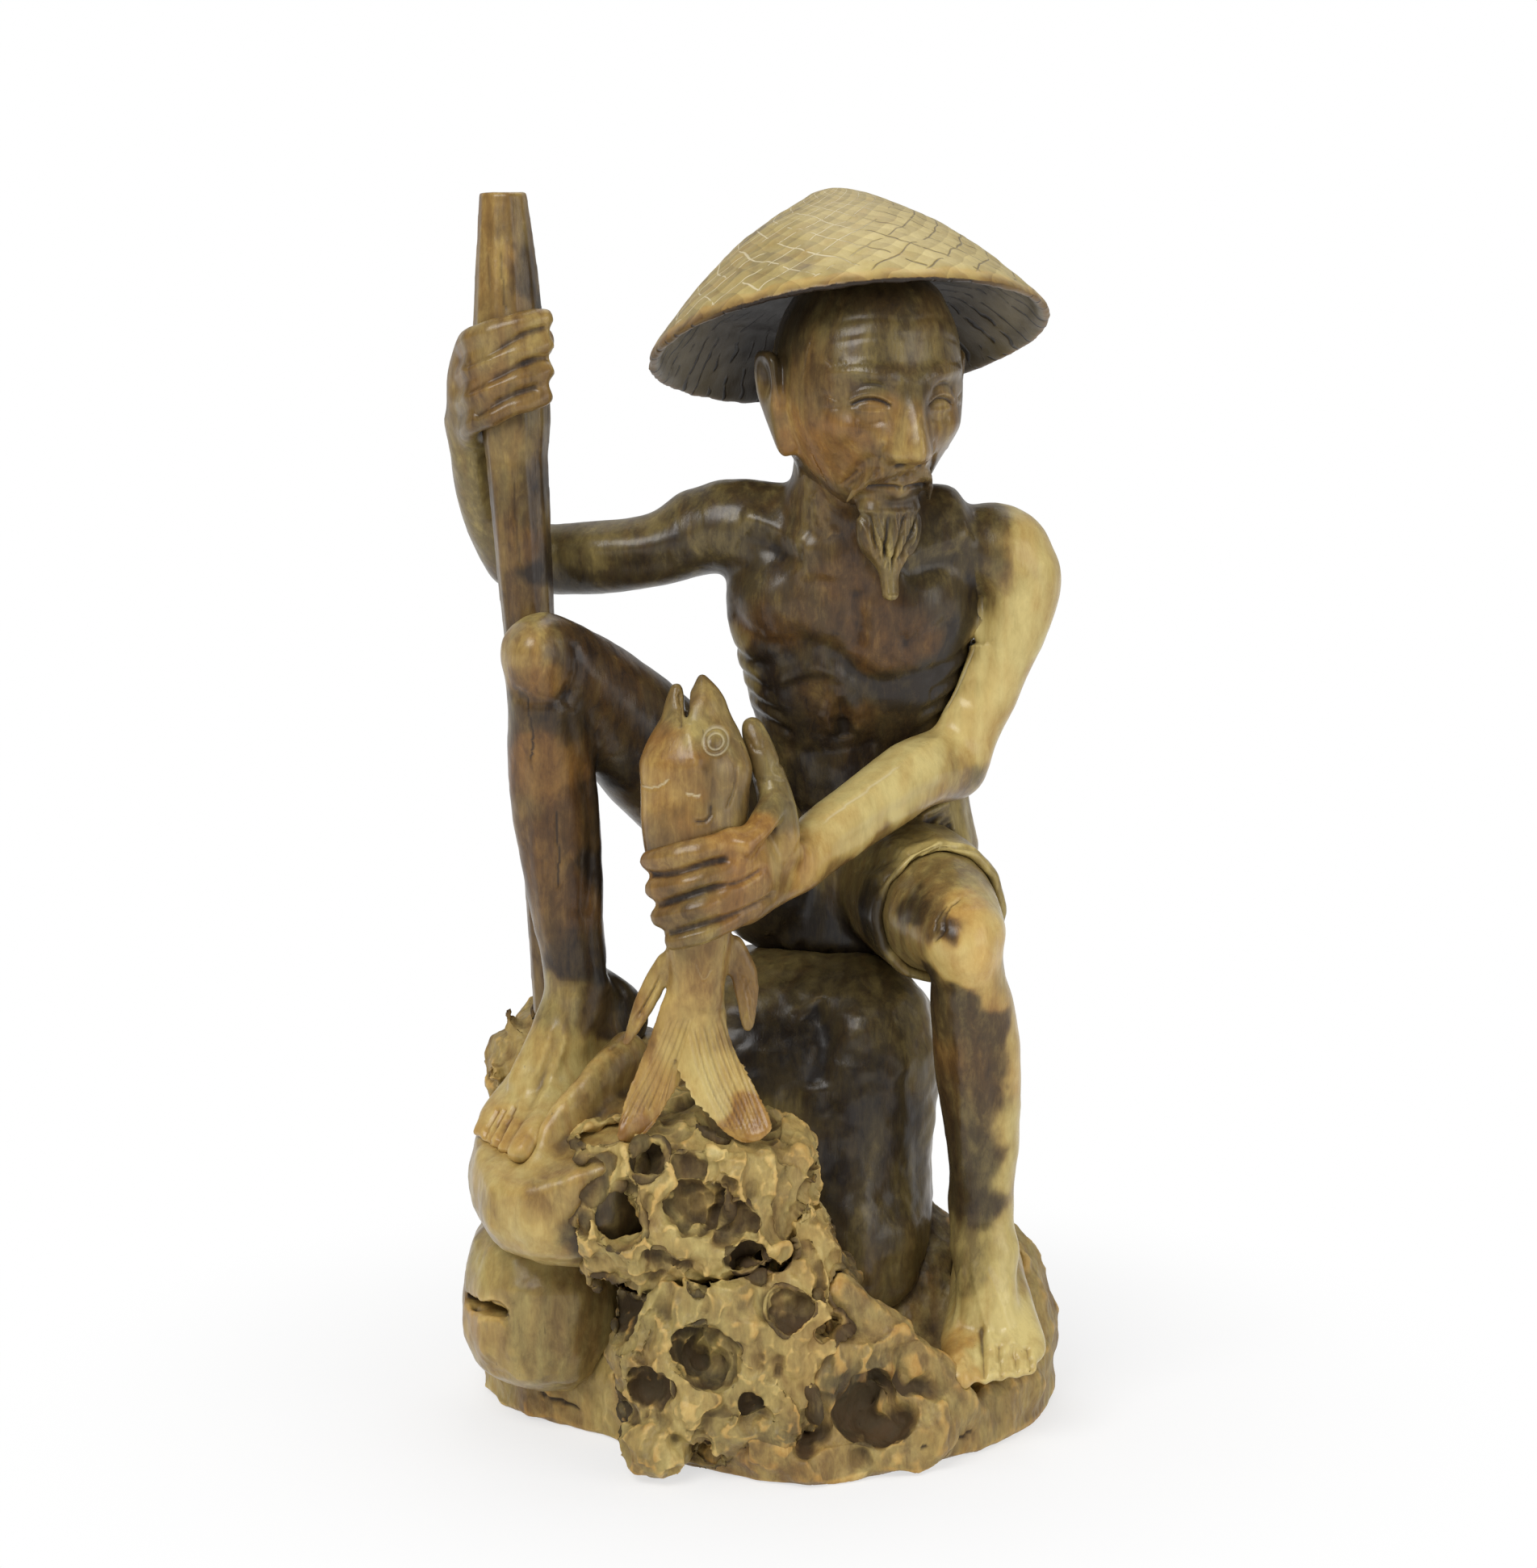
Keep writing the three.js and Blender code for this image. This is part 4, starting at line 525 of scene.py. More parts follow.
# Waxed wood. The weave is a function that adds the hat's own lines.
def woodMaterial(name, own, weave=None):
    look = {**usualLook, **own}
    s = Shader(bpy.data.materials.new(name))
    tone, warm, hollow, edge, mark = (s.attribute(n) for n in ("tone", "warm", "hollow", "edge", "mark"))
    noises = {}
    shares = {}
    for kind, (stretch, turn, settings, share) in woodNoises.items():
        noises[kind] = s.noise(s.stretched(stretch, turn), *settings)
        shares[kind] = share * look["grain" if kind in ("streaks", "fibres") else "mottle"]
    streaks, fibres, patches, finePatches, veins = noises.values()
    place = s.stretched(rings["stretch"])
    wobble = s.noise(place, *rings["wobble"])
    ringed = s.add("ShaderNodeTexWave", rings["kind"], {"Vector": place, **rings["wave"]}, output=1)
    # dark wood shows its figure more strongly than pale wood
    depth = tone.between(*finish["darkWood"]) * finish["darkMore"] + finish["paleWood"]
    broad = (swayed(patches, shares["patches"]) + swayed(finePatches, shares["finePatches"])
             + swayed(veins, shares["veins"]))
    fine = swayed(streaks, shares["streaks"]) + swayed(fibres, shares["fibres"])
    shade = tone + broad * depth + fine * depth + swayed(ringed, look["figure"] * 2) * wobble * depth
    # painted shade: hollows are darkened as if shade fell in them, partly also for the dark wax and dirt held
    # there
    shade = shade + hollow.between(finish["hollowFrom"], look["recessShadeAt"]) * look["recessShade"]
    # raised edges are lightened, partly as wear and partly as a painted highlight
    shade = shade - edge.between(*finish["wornEdge"]) * look["worn"]
    glow = warm + swayed(patches, 0.8) + swayed(ringed, 0.2)
    glow = glow + edge.between(*finish["glowEdge"]) * look["rawEdge"]
    height = streaks * 0.35 + finePatches * 0.35 + fibres * 0.15
    if weave:
        shade, glow, height, mark = weave(s, shade, glow, height, mark)
    shade = shade.clamped().maths("MINIMUM", look["darkest"])
    plain, rusty = (
        s.add("ShaderNodeValToRGB", {"stops": tuple(zip(palette["stops"], palette[kind]))}, {"Fac": shade})
        for kind in ("plain", "warm"))
    color = s.mix(glow.clamped(), plain, rusty)
    checks = s.noise(s.stretched(checking["stretch"]), *checking["noise"]).between(*checking["ends"])
    color = s.mix(checks * checking["strength"], color, palette["crack"])
    color = s.mix(mark.between(*finish["marked"]) * finish["chalkStrength"], color, palette["chalk"])
    color = s.mix((-mark).between(*finish["marked"]) * finish["crackStrength"], color, palette["crack"])
    rough = swayed(finePatches, 0.2) + swayed(streaks, 0.14) + look["roughness"]
    rough = rough + hollow.between(*finish["dullHollow"]) * finish["dullShare"]
    height = height - checks * checking["strength"]
    if look["dull"]:
        chips = s.add("ShaderNodeTexVoronoi", {"feature": "SMOOTH_F1"},
                      {"Vector": s.stretched(chipping["stretch"]), **chipping["cells"]})
        height = height + chips * (chipping["height"] * look["dull"])
    bumped = s.add("ShaderNodeBump", {}, {"Height": height, "Strength": look["bump"],
                                          "Distance": finish["bumpDistance"]})
    surface = s.add("ShaderNodeBsdfPrincipled", {}, {
        "Base Color": color, "Roughness": rough, "Normal": bumped, "Coat Weight": look["coat"],
        "Coat Roughness": finish["coatRoughness"], "IOR": finish["ior"],
        "Specular IOR Level": finish["specular"]})
    s.add("ShaderNodeOutputMaterial", {}, {"Surface": surface})
    return s.owner


# The hat's plaited lines run round its own axis in two crossing families
weaving = {
    "brim": (37, 5, 439.6), "tiltBack": 18, "tiltSide": 7.3, "around": 22, "step": 10.5, "ribs": 54,
    "line": (0.008, 0.05), "ribLine": (0.03, 0.12), "broken": (0.38, 0.46), "ribBroken": (0.42, 0.55),
    "band": (78.5, 79.6), "rim": (79.5, 82.5), "ribStart": (38, 52), "paleSide": (-42, -8),
    "lapShadow": (0.13, 0.09), "wanderNoise": (60.0, 2.0, 0.5), "gapNoise": ((120.0, 2.0, 0.5), (100.0, 2.0, 0.5)),
    "stainNoise": (34.0, 3.0, 0.6), "stained": (0.48, 0.72), "stainSide": (-30, 40), "stainShare": 0.26,
}


def hatWeave(s, shade, glow, height, mark):
    tilt = (math.radians(-weaving["tiltBack"]), math.radians(-weaving["tiltSide"]), 0)
    middle = [c * mm for c in weaving["brim"]]
    local = s.add("ShaderNodeMapping", {"vector_type": "TEXTURE"},
                  {"Vector": s.objectPlace(), "Location": middle, "Rotation": tilt})
    x = s.add("ShaderNodeSeparateXYZ", {}, {0: local})
    y = x.output(1)
    radius = ((x * x + y * y) ** 0.5) * 1000
    angle = y.maths("ARCTAN2", x) * (0.5 / math.pi)
    wander = s.noise(local, *weaving["wanderNoise"]) - 0.5
    places = (local, s.stretched((1.3, 0.8, 1)))
    gaps = [s.noise(place, *noise) for place, noise in zip(places, weaving["gapNoise"])]
    lines = []
    lapShadows = []
    for turn, gap, lapShadowShare in zip((1, -1), gaps, weaving["lapShadow"]):
        u = (angle * weaving["around"] + radius * (turn / weaving["step"]) + wander * 0.55).maths("FRACT")
        line = 1 - (u - 0.5).maths("ABSOLUTE").between(*weaving["line"])
        lines.append(line * gap.between(*weaving["broken"]))
        lapShadows.append(swayed(u, lapShadowShare))
    under = s.attribute("under")
    above = 1 - under
    band = radius.between(*weaving["band"])
    lined = lines[0].maths("MAXIMUM", lines[1]) * (1 - band) * above
    paleSide = (x * -1000 + y * 300 + wander * 40).between(*weaving["paleSide"])
    stained = s.noise(s.stretched((1, 1, 1.6)), *weaving["stainNoise"]).between(*weaving["stained"])
    stained = stained * (x * -1000).between(*weaving["stainSide"])
    # painted shadow: the lapped straw is a little darker at one side of each line, as if shaded by the strip
    # over it; the stain is added to it
    lapShadow = lapShadows[0] + lapShadows[1] + stained * weaving["stainShare"]
    rib = (angle * weaving["ribs"] + radius * 0.03 + wander * 1.5).maths("FRACT")
    ribLine = 1 - (rib - 0.5).maths("ABSOLUTE").between(*weaving["ribLine"])
    ribLine = ribLine * gaps[0].between(*weaving["ribBroken"]) * radius.between(*weaving["ribStart"])
    # painted shade: the underside is painted near black, lighter towards the sides of the brim
    shadeUnderHat = 1.1 - (x * 1000).maths("ABSOLUTE").between(28, 68) * 0.5 + wander * 0.3 + ribLine * 0.3
    outer = shade + lapShadow + lined * (1 - paleSide) * 0.33 + radius.between(*weaving["rim"]) * 0.35
    shade = outer * above + shadeUnderHat * under
    glow = glow * above + band * 0.45
    height = height - lined * 1.6 - ribLine * under * 1.5
    mark = mark + lined * paleSide * 0.9
    return shade, glow, height, mark


body = woodMaterial("waxed_body_wood", {"mottle": 0.2, "figure": 0.05, "roughness": 0.31})
straw = woodMaterial("plaited_hat_wood", {"grain": 0.6, "mottle": 0.08, "roughness": 0.42, "coat": 0.0},
                     hatWeave)
stone = woodMaterial("carved_rock_wood", {
    "grain": 0.5, "mottle": 0.24, "figure": 0.02, "roughness": 0.5, "coat": 0.0, "dull": 0.6, "bump": 0.6,
    "rawEdge": 0.6, "recessShadeAt": 3.6, "worn": 0.2, "darkest": 0.76})
polishedStone = woodMaterial("polished_rock_wood", {
    "grain": 0.8, "mottle": 0.2, "figure": 0.05, "roughness": 0.33, "rawEdge": 0.3})


# The head's own directions, the same as in the solid

head = {"middle": (43, -18, 424), "turn": math.radians(24), "nod": math.radians(7)}
headTurn = Matrix.Rotation(head["turn"], 3, "Z")
headSide = headTurn @ Vector((1, 0, 0))
headFront = Matrix.Rotation(head["nod"], 3, headSide) @ (headTurn @ Vector((0, -1, 0)))
headAxes = np.array([headSide, headFront, -headSide.cross(headFront)])

# Soft forms of the face: height, then middle and width sideways, then middle and width upwards
faceForms = [
    (1.6, 15.2, 7.2, 0.2, 4.2),        # eyeballs under their lids
    (-1.5, 15, 8.0, 7.2, 2.2),         # hollow over the lids
    (1.2, 17, 9, 11.5, 2.6),           # brow
    (1.9, 7.6, 2.8, -20.5, 3.2),       # nostril wings
    (1.2, 0, 3.6, -19.5, 3.8),         # tip of the nose
    (1.5, 0, 8.0, -37.6, 2.1),         # lower lip
    (0.9, 3.6, 4.4, -31.6, 1.7),       # upper lip
    (-1.3, 0, 9.0, -42.2, 2.4),        # hollow over the chin
    (-1.4, 26, 7, -30, 11),            # cheeks of an old man
    (1.3, 25, 7, -11, 5),              # cheekbones
    (-1.0, 34, 5, 14, 9),              # temples
]
strands = {"brow": 15, "moustache": 11, "beard": 25, "tuft": 5, "wave": (0, 0.25, 0.5, 0.75, 1)}


def headSpace(co):
    return (co - np.array(head["middle"])) @ headAxes.T


def bump(value, centre, width):
    return np.exp(-((value - centre) / width) ** 2)


def faceCarving(c):
    local = headSpace(c.co)
    facing = smoothstep(0.0, 0.35, c.normal @ headAxes[1]) * (local[:, 1] > 15)
    relief = sum(height * bump(np.abs(local[:, 0]), side, sideWidth) * bump(local[:, 2], up, upWidth)
                 for height, side, sideWidth, up, upWidth in faceForms)
    c.co += headAxes[1] * (relief * facing)[:, None]
    c.refresh()
    local = headSpace(c.co)
    plan = np.stack([local[:, 0], np.where(local[:, 1] > 12, 0.0, 99.0), local[:, 2]], 1)

    def line(points, width, height, fade=0.2, mark=0.0):
        c.stroke(points, width, height, fade, deep=(-1, 1), space=plan, mark=mark)

    def pair(points, width, height, fade=0.2, mark=0.0):
        for mirror in (1, -1):
            line([(mirror * s, h) for s, h in points], width, height, fade, mark)

    # lids, slit of the eye and the folds over and under it
    pair([(7.2, -1.0), (10.5, 1.9), (15, 3.0), (19.6, 1.9), (23.5, -1.4)], 0.95, 0.75, fade=0.12)
    pair([(7.6, -1.6), (11, 0.2), (15, 1.0), (19.4, 0.0), (23, -2.2)], 0.85, -1.3, fade=0.1, mark=-0.45)
    pair([(8.4, -2.9), (12, -3.5), (15.5, -3.7), (19, -3.4), (22, -2.9)], 0.85, 0.55)
    pair([(8.0, 3.4), (11.5, 5.9), (15.2, 6.8), (19.5, 5.7), (24, 2.2)], 0.9, -0.7)
    pair([(9.5, -6.2), (15, -8.2), (21, -6.6)], 1.3, -0.5)
    # nostrils
    pair([(10.6, -14.5), (12.0, -19), (10.8, -23.2)], 1.0, -0.9)
    pair([(3.4, -24.6), (5.4, -24.8)], 1.3, -1.6, fade=0.0, mark=-0.6)
    # cheek, mouth and the groove over it
    pair([(12.8, -20), (16.4, -27), (18.6, -36)], 1.7, -0.75)
    pair([(13.6, -34.9), (9, -34.0), (4, -33.7), (0, -34.5)], 0.85, -1.4, fade=0.08, mark=-0.5)
    pair([(1.4, -25.6), (1.7, -29.4)], 0.8, 0.35)
    # creases beside the eyes and on the forehead
    pair([(25.5, -0.5), (30.5, 1.8)], 0.7, -0.4)
    pair([(25.5, -2.6), (30.5, -4.4)], 0.7, -0.4)
    for height, depth in ((23.5, 0.3), (30.5, 0.25)):
        pair([(0, height), (10, height + 1.4), (20, height + 0.2), (28, height - 3)], 1.1, -depth)
    # eyebrows, moustache, and wavy strands of the beard that draw together into the long tuft
    pair([(5.2, 9.6), (10, 12.6), (17, 13.6), (24, 11.6), (29, 7.6)], 2.0, 0.75)
    for i in range(strands["brow"]):
        s = 6 + i * 1.6
        h = 10.2 + 3.2 * math.sin(min(1, (s - 5) / 16) * 1.9)
        pair([(s - 1.0, h - 1.7), (s + 1.4, h + 1.9)], 0.42, -0.4)
    for i in range(strands["moustache"]):
        s = 1.2 + i * 1.5
        pair([(s, -26.2 - 0.15 * i), (s + 1.8, -28.8 - 0.35 * i), (s + 3.0, -31.0 - 0.55 * i)],
             0.5, -0.55, fade=0.15)
    for i in range(strands["beard"]):
        fromMiddle = i - strands["beard"] // 2
        s = fromMiddle * 1.25
        length = -24 + 0.42 * abs(fromMiddle) + 2.2 * math.sin(i * 2.1)
        strand = [(s * (1 - 0.55 * t) + 0.7 * math.sin(5 * t + i), -44 + length * t) for t in strands["wave"]]
        line(strand, 0.68, -1.25, fade=0.1, mark=0.25 if i % 4 == 1 else 0.0)
    for i in range(strands["tuft"]):
        s = (i - strands["tuft"] // 2) * 1.5
        line([(s, -62), (s * 0.8 + 0.5, -70), (s * 0.6, -78)], 0.6, -0.8, fade=0.1)
    c.refresh()


# What a piece does unless its own dictionary says otherwise
usualPiece = {
    "grow": 0.25, "shrink": 0.0, "undulation": 0.3, "darker": 0.0, "hollowTimes": 45, "keepFine": (),
    "lumps": (), "strokes": (),
}
undulation = {
    "long": {"size": 15, "seed": 40}, "short": {"size": 5.5, "seed": 50, "share": 0.35},
    "tools": {"size": 2.6, "seed": 70, "depth": 0.035},
}
# Each dip: how deep, and where along the seam's own direction it begins and ends
seamDips = ((1.3, 0.0, 10), (3.2, 9, 20))
pastSeam = 5


# The same way of working for every piece: blank, smooth, strokes, tones, finish
def carvePiece(ownPiece, work=None):
    piece = {**usualPiece, **ownPiece}
    obj = blank(piece)
    c = Carving(obj)
    joined = [(seam, node) for node in piece["nodes"] for seam in seamsOf(node)]

    def timesFor(size):
        return round(4 * (size / piece["voxel"]) ** 2)

    c.fair(timesFor(piece["rounding"]), keepFine(c, piece["keepFine"]) if piece["keepFine"] else None)
    if piece["shrink"]:
        c.push(np.full(c.count, -piece["shrink"]))
    undulate(c, piece["undulation"])
    lumps = list(piece["lumps"])
    for seam, _ in joined:
        lumps += seam.get("lumps", [])
        for middle, reach, size in seam.get("fills", ()):
            share = c.near(middle, reach)[:, None]
            soft = c.blurred(c.co, timesFor(size))
            c.co += (soft - c.co) * share
    c.refresh()
    for centre, radius, height in lumps:
        c.lump(centre, radius, height)
    c.refresh()
    if work:
        work(c)
    for stroke in piece["strokes"]:
        c.stroke(**stroke)
    c.refresh()
    for seam, node in joined:
        dipUnder(c, seam, node)
    c.co[:, 2] = np.maximum(c.co[:, 2], 0.0)
    c.refresh()
    tones = list(piece["tones"])
    for seam, _ in joined:
        tones += seam["tones"]
    stainAndShade(c, tones, piece["darker"], piece["hollowTimes"])
    obj.data.materials.clear()
    obj.data.materials.append(piece["material"])
    activate(obj)
    bpy.ops.object.shade_smooth()
    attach(obj, "root")
    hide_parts(*piece["nodes"])
    print(obj.name, "faces", len(obj.data.polygons))


# Weight of 1 where the smoothing may act and less round the finely carved places
def keepFine(c, places):
    weight = np.ones(c.count)
    for x, y, z, reach, strength in places:
        weight *= 1 - strength * np.exp(-(((c.co - (x, y, z)) ** 2).sum(1)) / reach ** 2) ** 0.5
    return weight


def undulate(c, depth):
    longWave, shortWave, tools = undulation["long"], undulation["short"], undulation["tools"]
    waves = clouds(c.co / longWave["size"], longWave["seed"])
    waves = waves + shortWave["share"] * clouds(c.co / shortWave["size"], shortWave["seed"])
    c.push(depth * waves + tools["depth"] * cloud(c.co / tools["size"], tools["seed"]))


def dipUnder(c, seam, node):
    direction = np.array(seam["upwards"], float)
    direction /= np.linalg.norm(direction)
    if node == seam["pair"][1]:
        direction = -direction
    away = c.co - np.array(seam["middle"], float)
    inside = np.linalg.norm(away, axis=1) < seam["reach"] + pastSeam
    dip = sum(depth * smoothstep(start, end, away @ direction) for depth, start, end in seamDips)
    c.co -= c.normal * (dip * inside)[:, None]
    c.refresh()


def ridge(width, height, *points, **more):
    return dict(points=list(points), width=width, height=height, **more)


def groove(width, depth, *points, **more):
    return dict(points=list(points), width=width, height=-depth, **more)


# Torso
torso = {
    "name": "carved_torso", "nodes": ["torso"], "slot": "dark_heartwood", "material": body,
    "voxel": 1.05, "rounding": 5.5, "undulation": 0.35, "darker": 0.06,
    "lumps": [
        ((2, -18, 340), 13, 1.6), ((66, -20, 338), 13, 1.6), ((20, -24, 360), 4.5, 1.6),
        ((30, 5, 262), 15, 2.4), ((4, -8, 366), 6, -0.8), ((39, -24, 352), 6, -0.8),
    ],
    "strokes": [
        ridge(4, 1.7, (21, -24, 361), (8, -15, 367), (-8, -10, 373)),                       # collar bones
        ridge(4, 1.7, (55, -20, 355), (73, -16, 361), (86, -10, 366)),
        groove(4, 1.2, (20, -24, 353), (6, -17, 358), (-8, -11, 364)),
        groove(4, 1.2, (57, -22, 347), (72, -17, 352), (84, -11, 357)),
        groove(3.5, 1.4, (39, -22, 346), (40, -21, 330), (39, -17, 316)),                   # breastbone
        groove(4.5, 1.5, (-11, -5, 335), (-3, -12, 324), (9, -17, 320), (23, -21, 325)),    # under the chest
        groove(4.5, 1.5, (55, -20, 320), (69, -18, 323), (79, -14, 331)),
        groove(5.0, 1.8, (-4, -6, 306), (3, -10, 311), (15, -17, 316), (23, -20, 319), (33, -17, 315),
               (40, -15, 308), (50, -14, 304), (62, -12, 306), (76, -6, 309), fade=0.08),   # arch of the ribs
        ridge(3.0, 1.0, (3, -10, 303), (15, -13, 308), (24, -15, 311), (33, -13, 307), (40, -11, 300)),
        ridge(3.0, 1.5, (31, -3, 279), (28, -9, 290), (33, -12, 300), (39, -8, 291), (42, -3, 279)),
        groove(3.0, 1.3, (35, -3, 280), (34, -7, 290)),
        groove(4.5, 1.3, (8, 8, 276), (22, 1, 273), (38, -1, 274), (52, -3, 279)),
        groove(2.2, 1.0, (3, 24, 253), (16, 13, 249), (30, 8, 248), (44, 7, 252)),
        groove(0.8, 0.6, (4, 27, 249), (14, 17, 247), (26, 11, 246), mark=-0.5),             # waist line
        ridge(3.0, 1.5, (22, -27, 384), (25, -26, 373), (31, -26, 364)),                   # cords of the neck
        ridge(3.0, 1.2, (58, -22, 378), (54, -24, 369), (49, -23, 361)),
    ] + [
        groove(2.4, 1.3, (-9 + 2.4 * i, 14, 322 - 10.5 * i), (-5 + 2.4 * i, 2, 316 - 10.5 * i),
               (6 + 2.4 * i, -7, 309 - 10.5 * i)) for i in range(4)
    ] + [
        groove(2.4, 1.1, (86 - 1.5 * i, 12, 322 - 10.5 * i), (80 - 1.5 * i, 0, 316 - 10.5 * i),
               (69 - 1.5 * i, -8, 308 - 10.5 * i)) for i in range(4)
    ],
    "tones": [
        (8, -20, 345, 14, 0.76, 0.3), (3, -18, 329, 11, 0.7, 0.8),
        (20, -23, 333, 11, 0.76, 0.5), (36, -22, 338, 11, 0.7, 0.8), (52, -23, 333, 11, 0.75, 0.7),
        (62, -19, 323, 10, 0.76, 0.9), (46, -20, 322, 9, 0.68, 0.9), (68, -20, 340, 10, 0.78, 0.1),
        # painted shade: these dark tones along the arch of the ribs darken the band under the chest
        (7, -11, 308, 9, 0.88, 0.1), (23, -19, 316, 8, 0.82, 0.2),
        (39, -15, 305, 9, 0.9, 0.1), (56, -13, 301, 10, 0.92, 0.1), (73, -7, 302, 9, 0.92, 0),
        (20, -8, 291, 7, 0.8, 0.5), (29, -12, 300, 6, 0.7, 0.6), (40, -7, 289, 7, 0.76, 0.7),
        (32, -5, 284, 5, 0.95, 0.1), (10, -4, 290, 9, 0.9, 0.1), (5, 14, 272, 8, 0.6, 0),
        (23, 7, 260, 9, 0.85, 0), (40, 0, 274, 9, 0.86, 0.3), (55, -4, 285, 9, 0.88, 0.2),
        (69, -12, 309, 8, 0.97, 0), (-9, -2, 320, 6, 0.42, 0), (-3, 1, 301, 5, 0.5, 0),
        (2, 10, 283, 5, 0.65, 0),
        # back
        (10, 45, 350, 30, 0.66, 0.2), (75, 45, 350, 30, 0.62, 0.2), (45, 60, 310, 30, 0.74, 0.4),
        (0, 50, 300, 22, 0.6, 0.1), (85, 45, 300, 22, 0.55, 0.2), (45, 70, 260, 30, 0.7, 0.3),
    ],
}
carvePiece(torso)

# Head with its beard
headPiece = {
    "name": "carved_head", "nodes": ["head"], "slot": "mid_wood", "material": body,
    "voxel": 0.72, "rounding": 3.4, "undulation": 0.12, "darker": 0.08,
    "keepFine": [(10, -8, 420, 16, 0.8), (62, -46, 360, 16, 0.9)],
    "tones": [
        (38, -57, 441, 14, 0.6, 0.1), (22, -51, 428, 12, 0.55, 0.4), (19, -44, 406, 11, 0.42, 0.95),
        (53, -59, 425, 10, 0.6, 0.1), (70, -45, 406, 10, 0.5, 0.5), (50, -60, 413, 6, 0.4, 0.6),
        (48, -49, 387, 8, 0.52, 0.4), (50, -43, 368, 7, 0.64, 0.2), (50, -43, 355, 7, 0.56, 0.2),
        (76, -38, 440, 10, 0.6, 0.2), (30, -50, 396, 8, 0.5, 0.8), (12, -25, 415, 9, 0.62, 0.3),
        (8, -8, 425, 10, 0.55, 0.3), (40, -40, 455, 12, 0.7, 0.1),
        (15, -30, 445, 12, 0.75, 0.1), (60, -62, 402, 8, 0.38, 0.5), (84, -20, 420, 12, 0.55, 0.3),
        (45, 22, 430, 30, 0.6, 0.2),
    ],
}
carvePiece(headPiece, faceCarving)

# Arms
rightArm = {
    "name": "carved_right_arm", "nodes": ["right_arm"], "slot": "mid_wood", "material": body,
    "voxel": 0.8, "grow": 1.0, "shrink": 0.75, "rounding": 5.2, "undulation": 0.25, "darker": 0.06,
    "keepFine": [(-98, -30, 432, 26, 0.9)],
    "lumps": [
        ((-104, -44, 442), 4.5, 0.9), ((-105, -45, 433), 4.5, 0.9), ((-105, -45, 422), 4.5, 0.9),
        ((-104, -44, 412), 4.5, 0.9), ((-91, -45, 450), 3.6, 0.6), ((-90, -44, 438), 3.6, 0.6),
        ((-90, -43, 427), 3.6, 0.6), ((-91, -43, 417), 3.6, 0.6),
    ],
    "strokes": [
        groove(1.4, 1.3, (-117, 432), (-105, 438), (-92, 445), (-82, 448), fade=0.05),
        groove(1.4, 1.3, (-116, 422), (-102, 429), (-89, 435), (-80, 436), fade=0.05),
        groove(1.4, 1.3, (-112, 413), (-98, 421), (-86, 425), fade=0.05),
        ridge(6, 0.9, (-76, 5, 360), (-53, -1, 360), (-29, -7, 362)),
        groove(5, 1.1, (-78, 4, 349), (-53, -2, 350), (-32, -6, 352)),
        ridge(3.2, 0.9, (-115, -17, 398), (-114, -12, 385), (-111, -3, 368)),
        groove(2.6, 0.8, (-108, -20, 398), (-107, -14, 386), (-104, -5, 372)),
    ],
    "tones": [
        (-53, 3, 365, 14, 0.52, 0), (-74, 8, 363, 14, 0.48, 0),
        (-53, 0, 347, 9, 0.85, 0), (-74, 6, 343, 9, 0.88, 0),
        (-114, -12, 385, 12, 0.45, 0), (-119, -16, 398, 10, 0.42, 0.1), (-111, -3, 368, 12, 0.48, 0),
        (-108, -39, 440, 8, 0.4, 0.3), (-118, -27, 424, 9, 0.5, 0.5), (-119, -30, 408, 9, 0.54, 0.3),
        (-94, -45, 447, 8, 0.42, 0.4), (-94, -12, 434, 8, 0.5, 0.5), (-95, -44, 415, 8, 0.52, 0.5),
        (-105, -44, 425, 7, 0.46, 0.6),
        (-98, 20, 352, 12, 0.5, 0.1), (-98, 18, 338, 10, 0.8, 0.1), (-105, 5, 385, 9, 0.6, 0.1),
        (-60, 25, 352, 20, 0.6, 0.1), (-112, 15, 375, 16, 0.5, 0.1),
    ],
}


# The fingertips reach round the staff and the thumb's end lies close to it
def rightArmWork(c):
    x, y, z = c.co.T
    hand = smoothstep(398, 404, z) * smoothstep(462, 456, z)
    c.co[:, 0] += 3.2 * hand * smoothstep(-27, -33, y) * smoothstep(-94, -85, x)
    c.co[:, 0] -= 5.0 * c.near((-80, -21, 443), 9)
    c.refresh()


carvePiece(rightArm, rightArmWork)

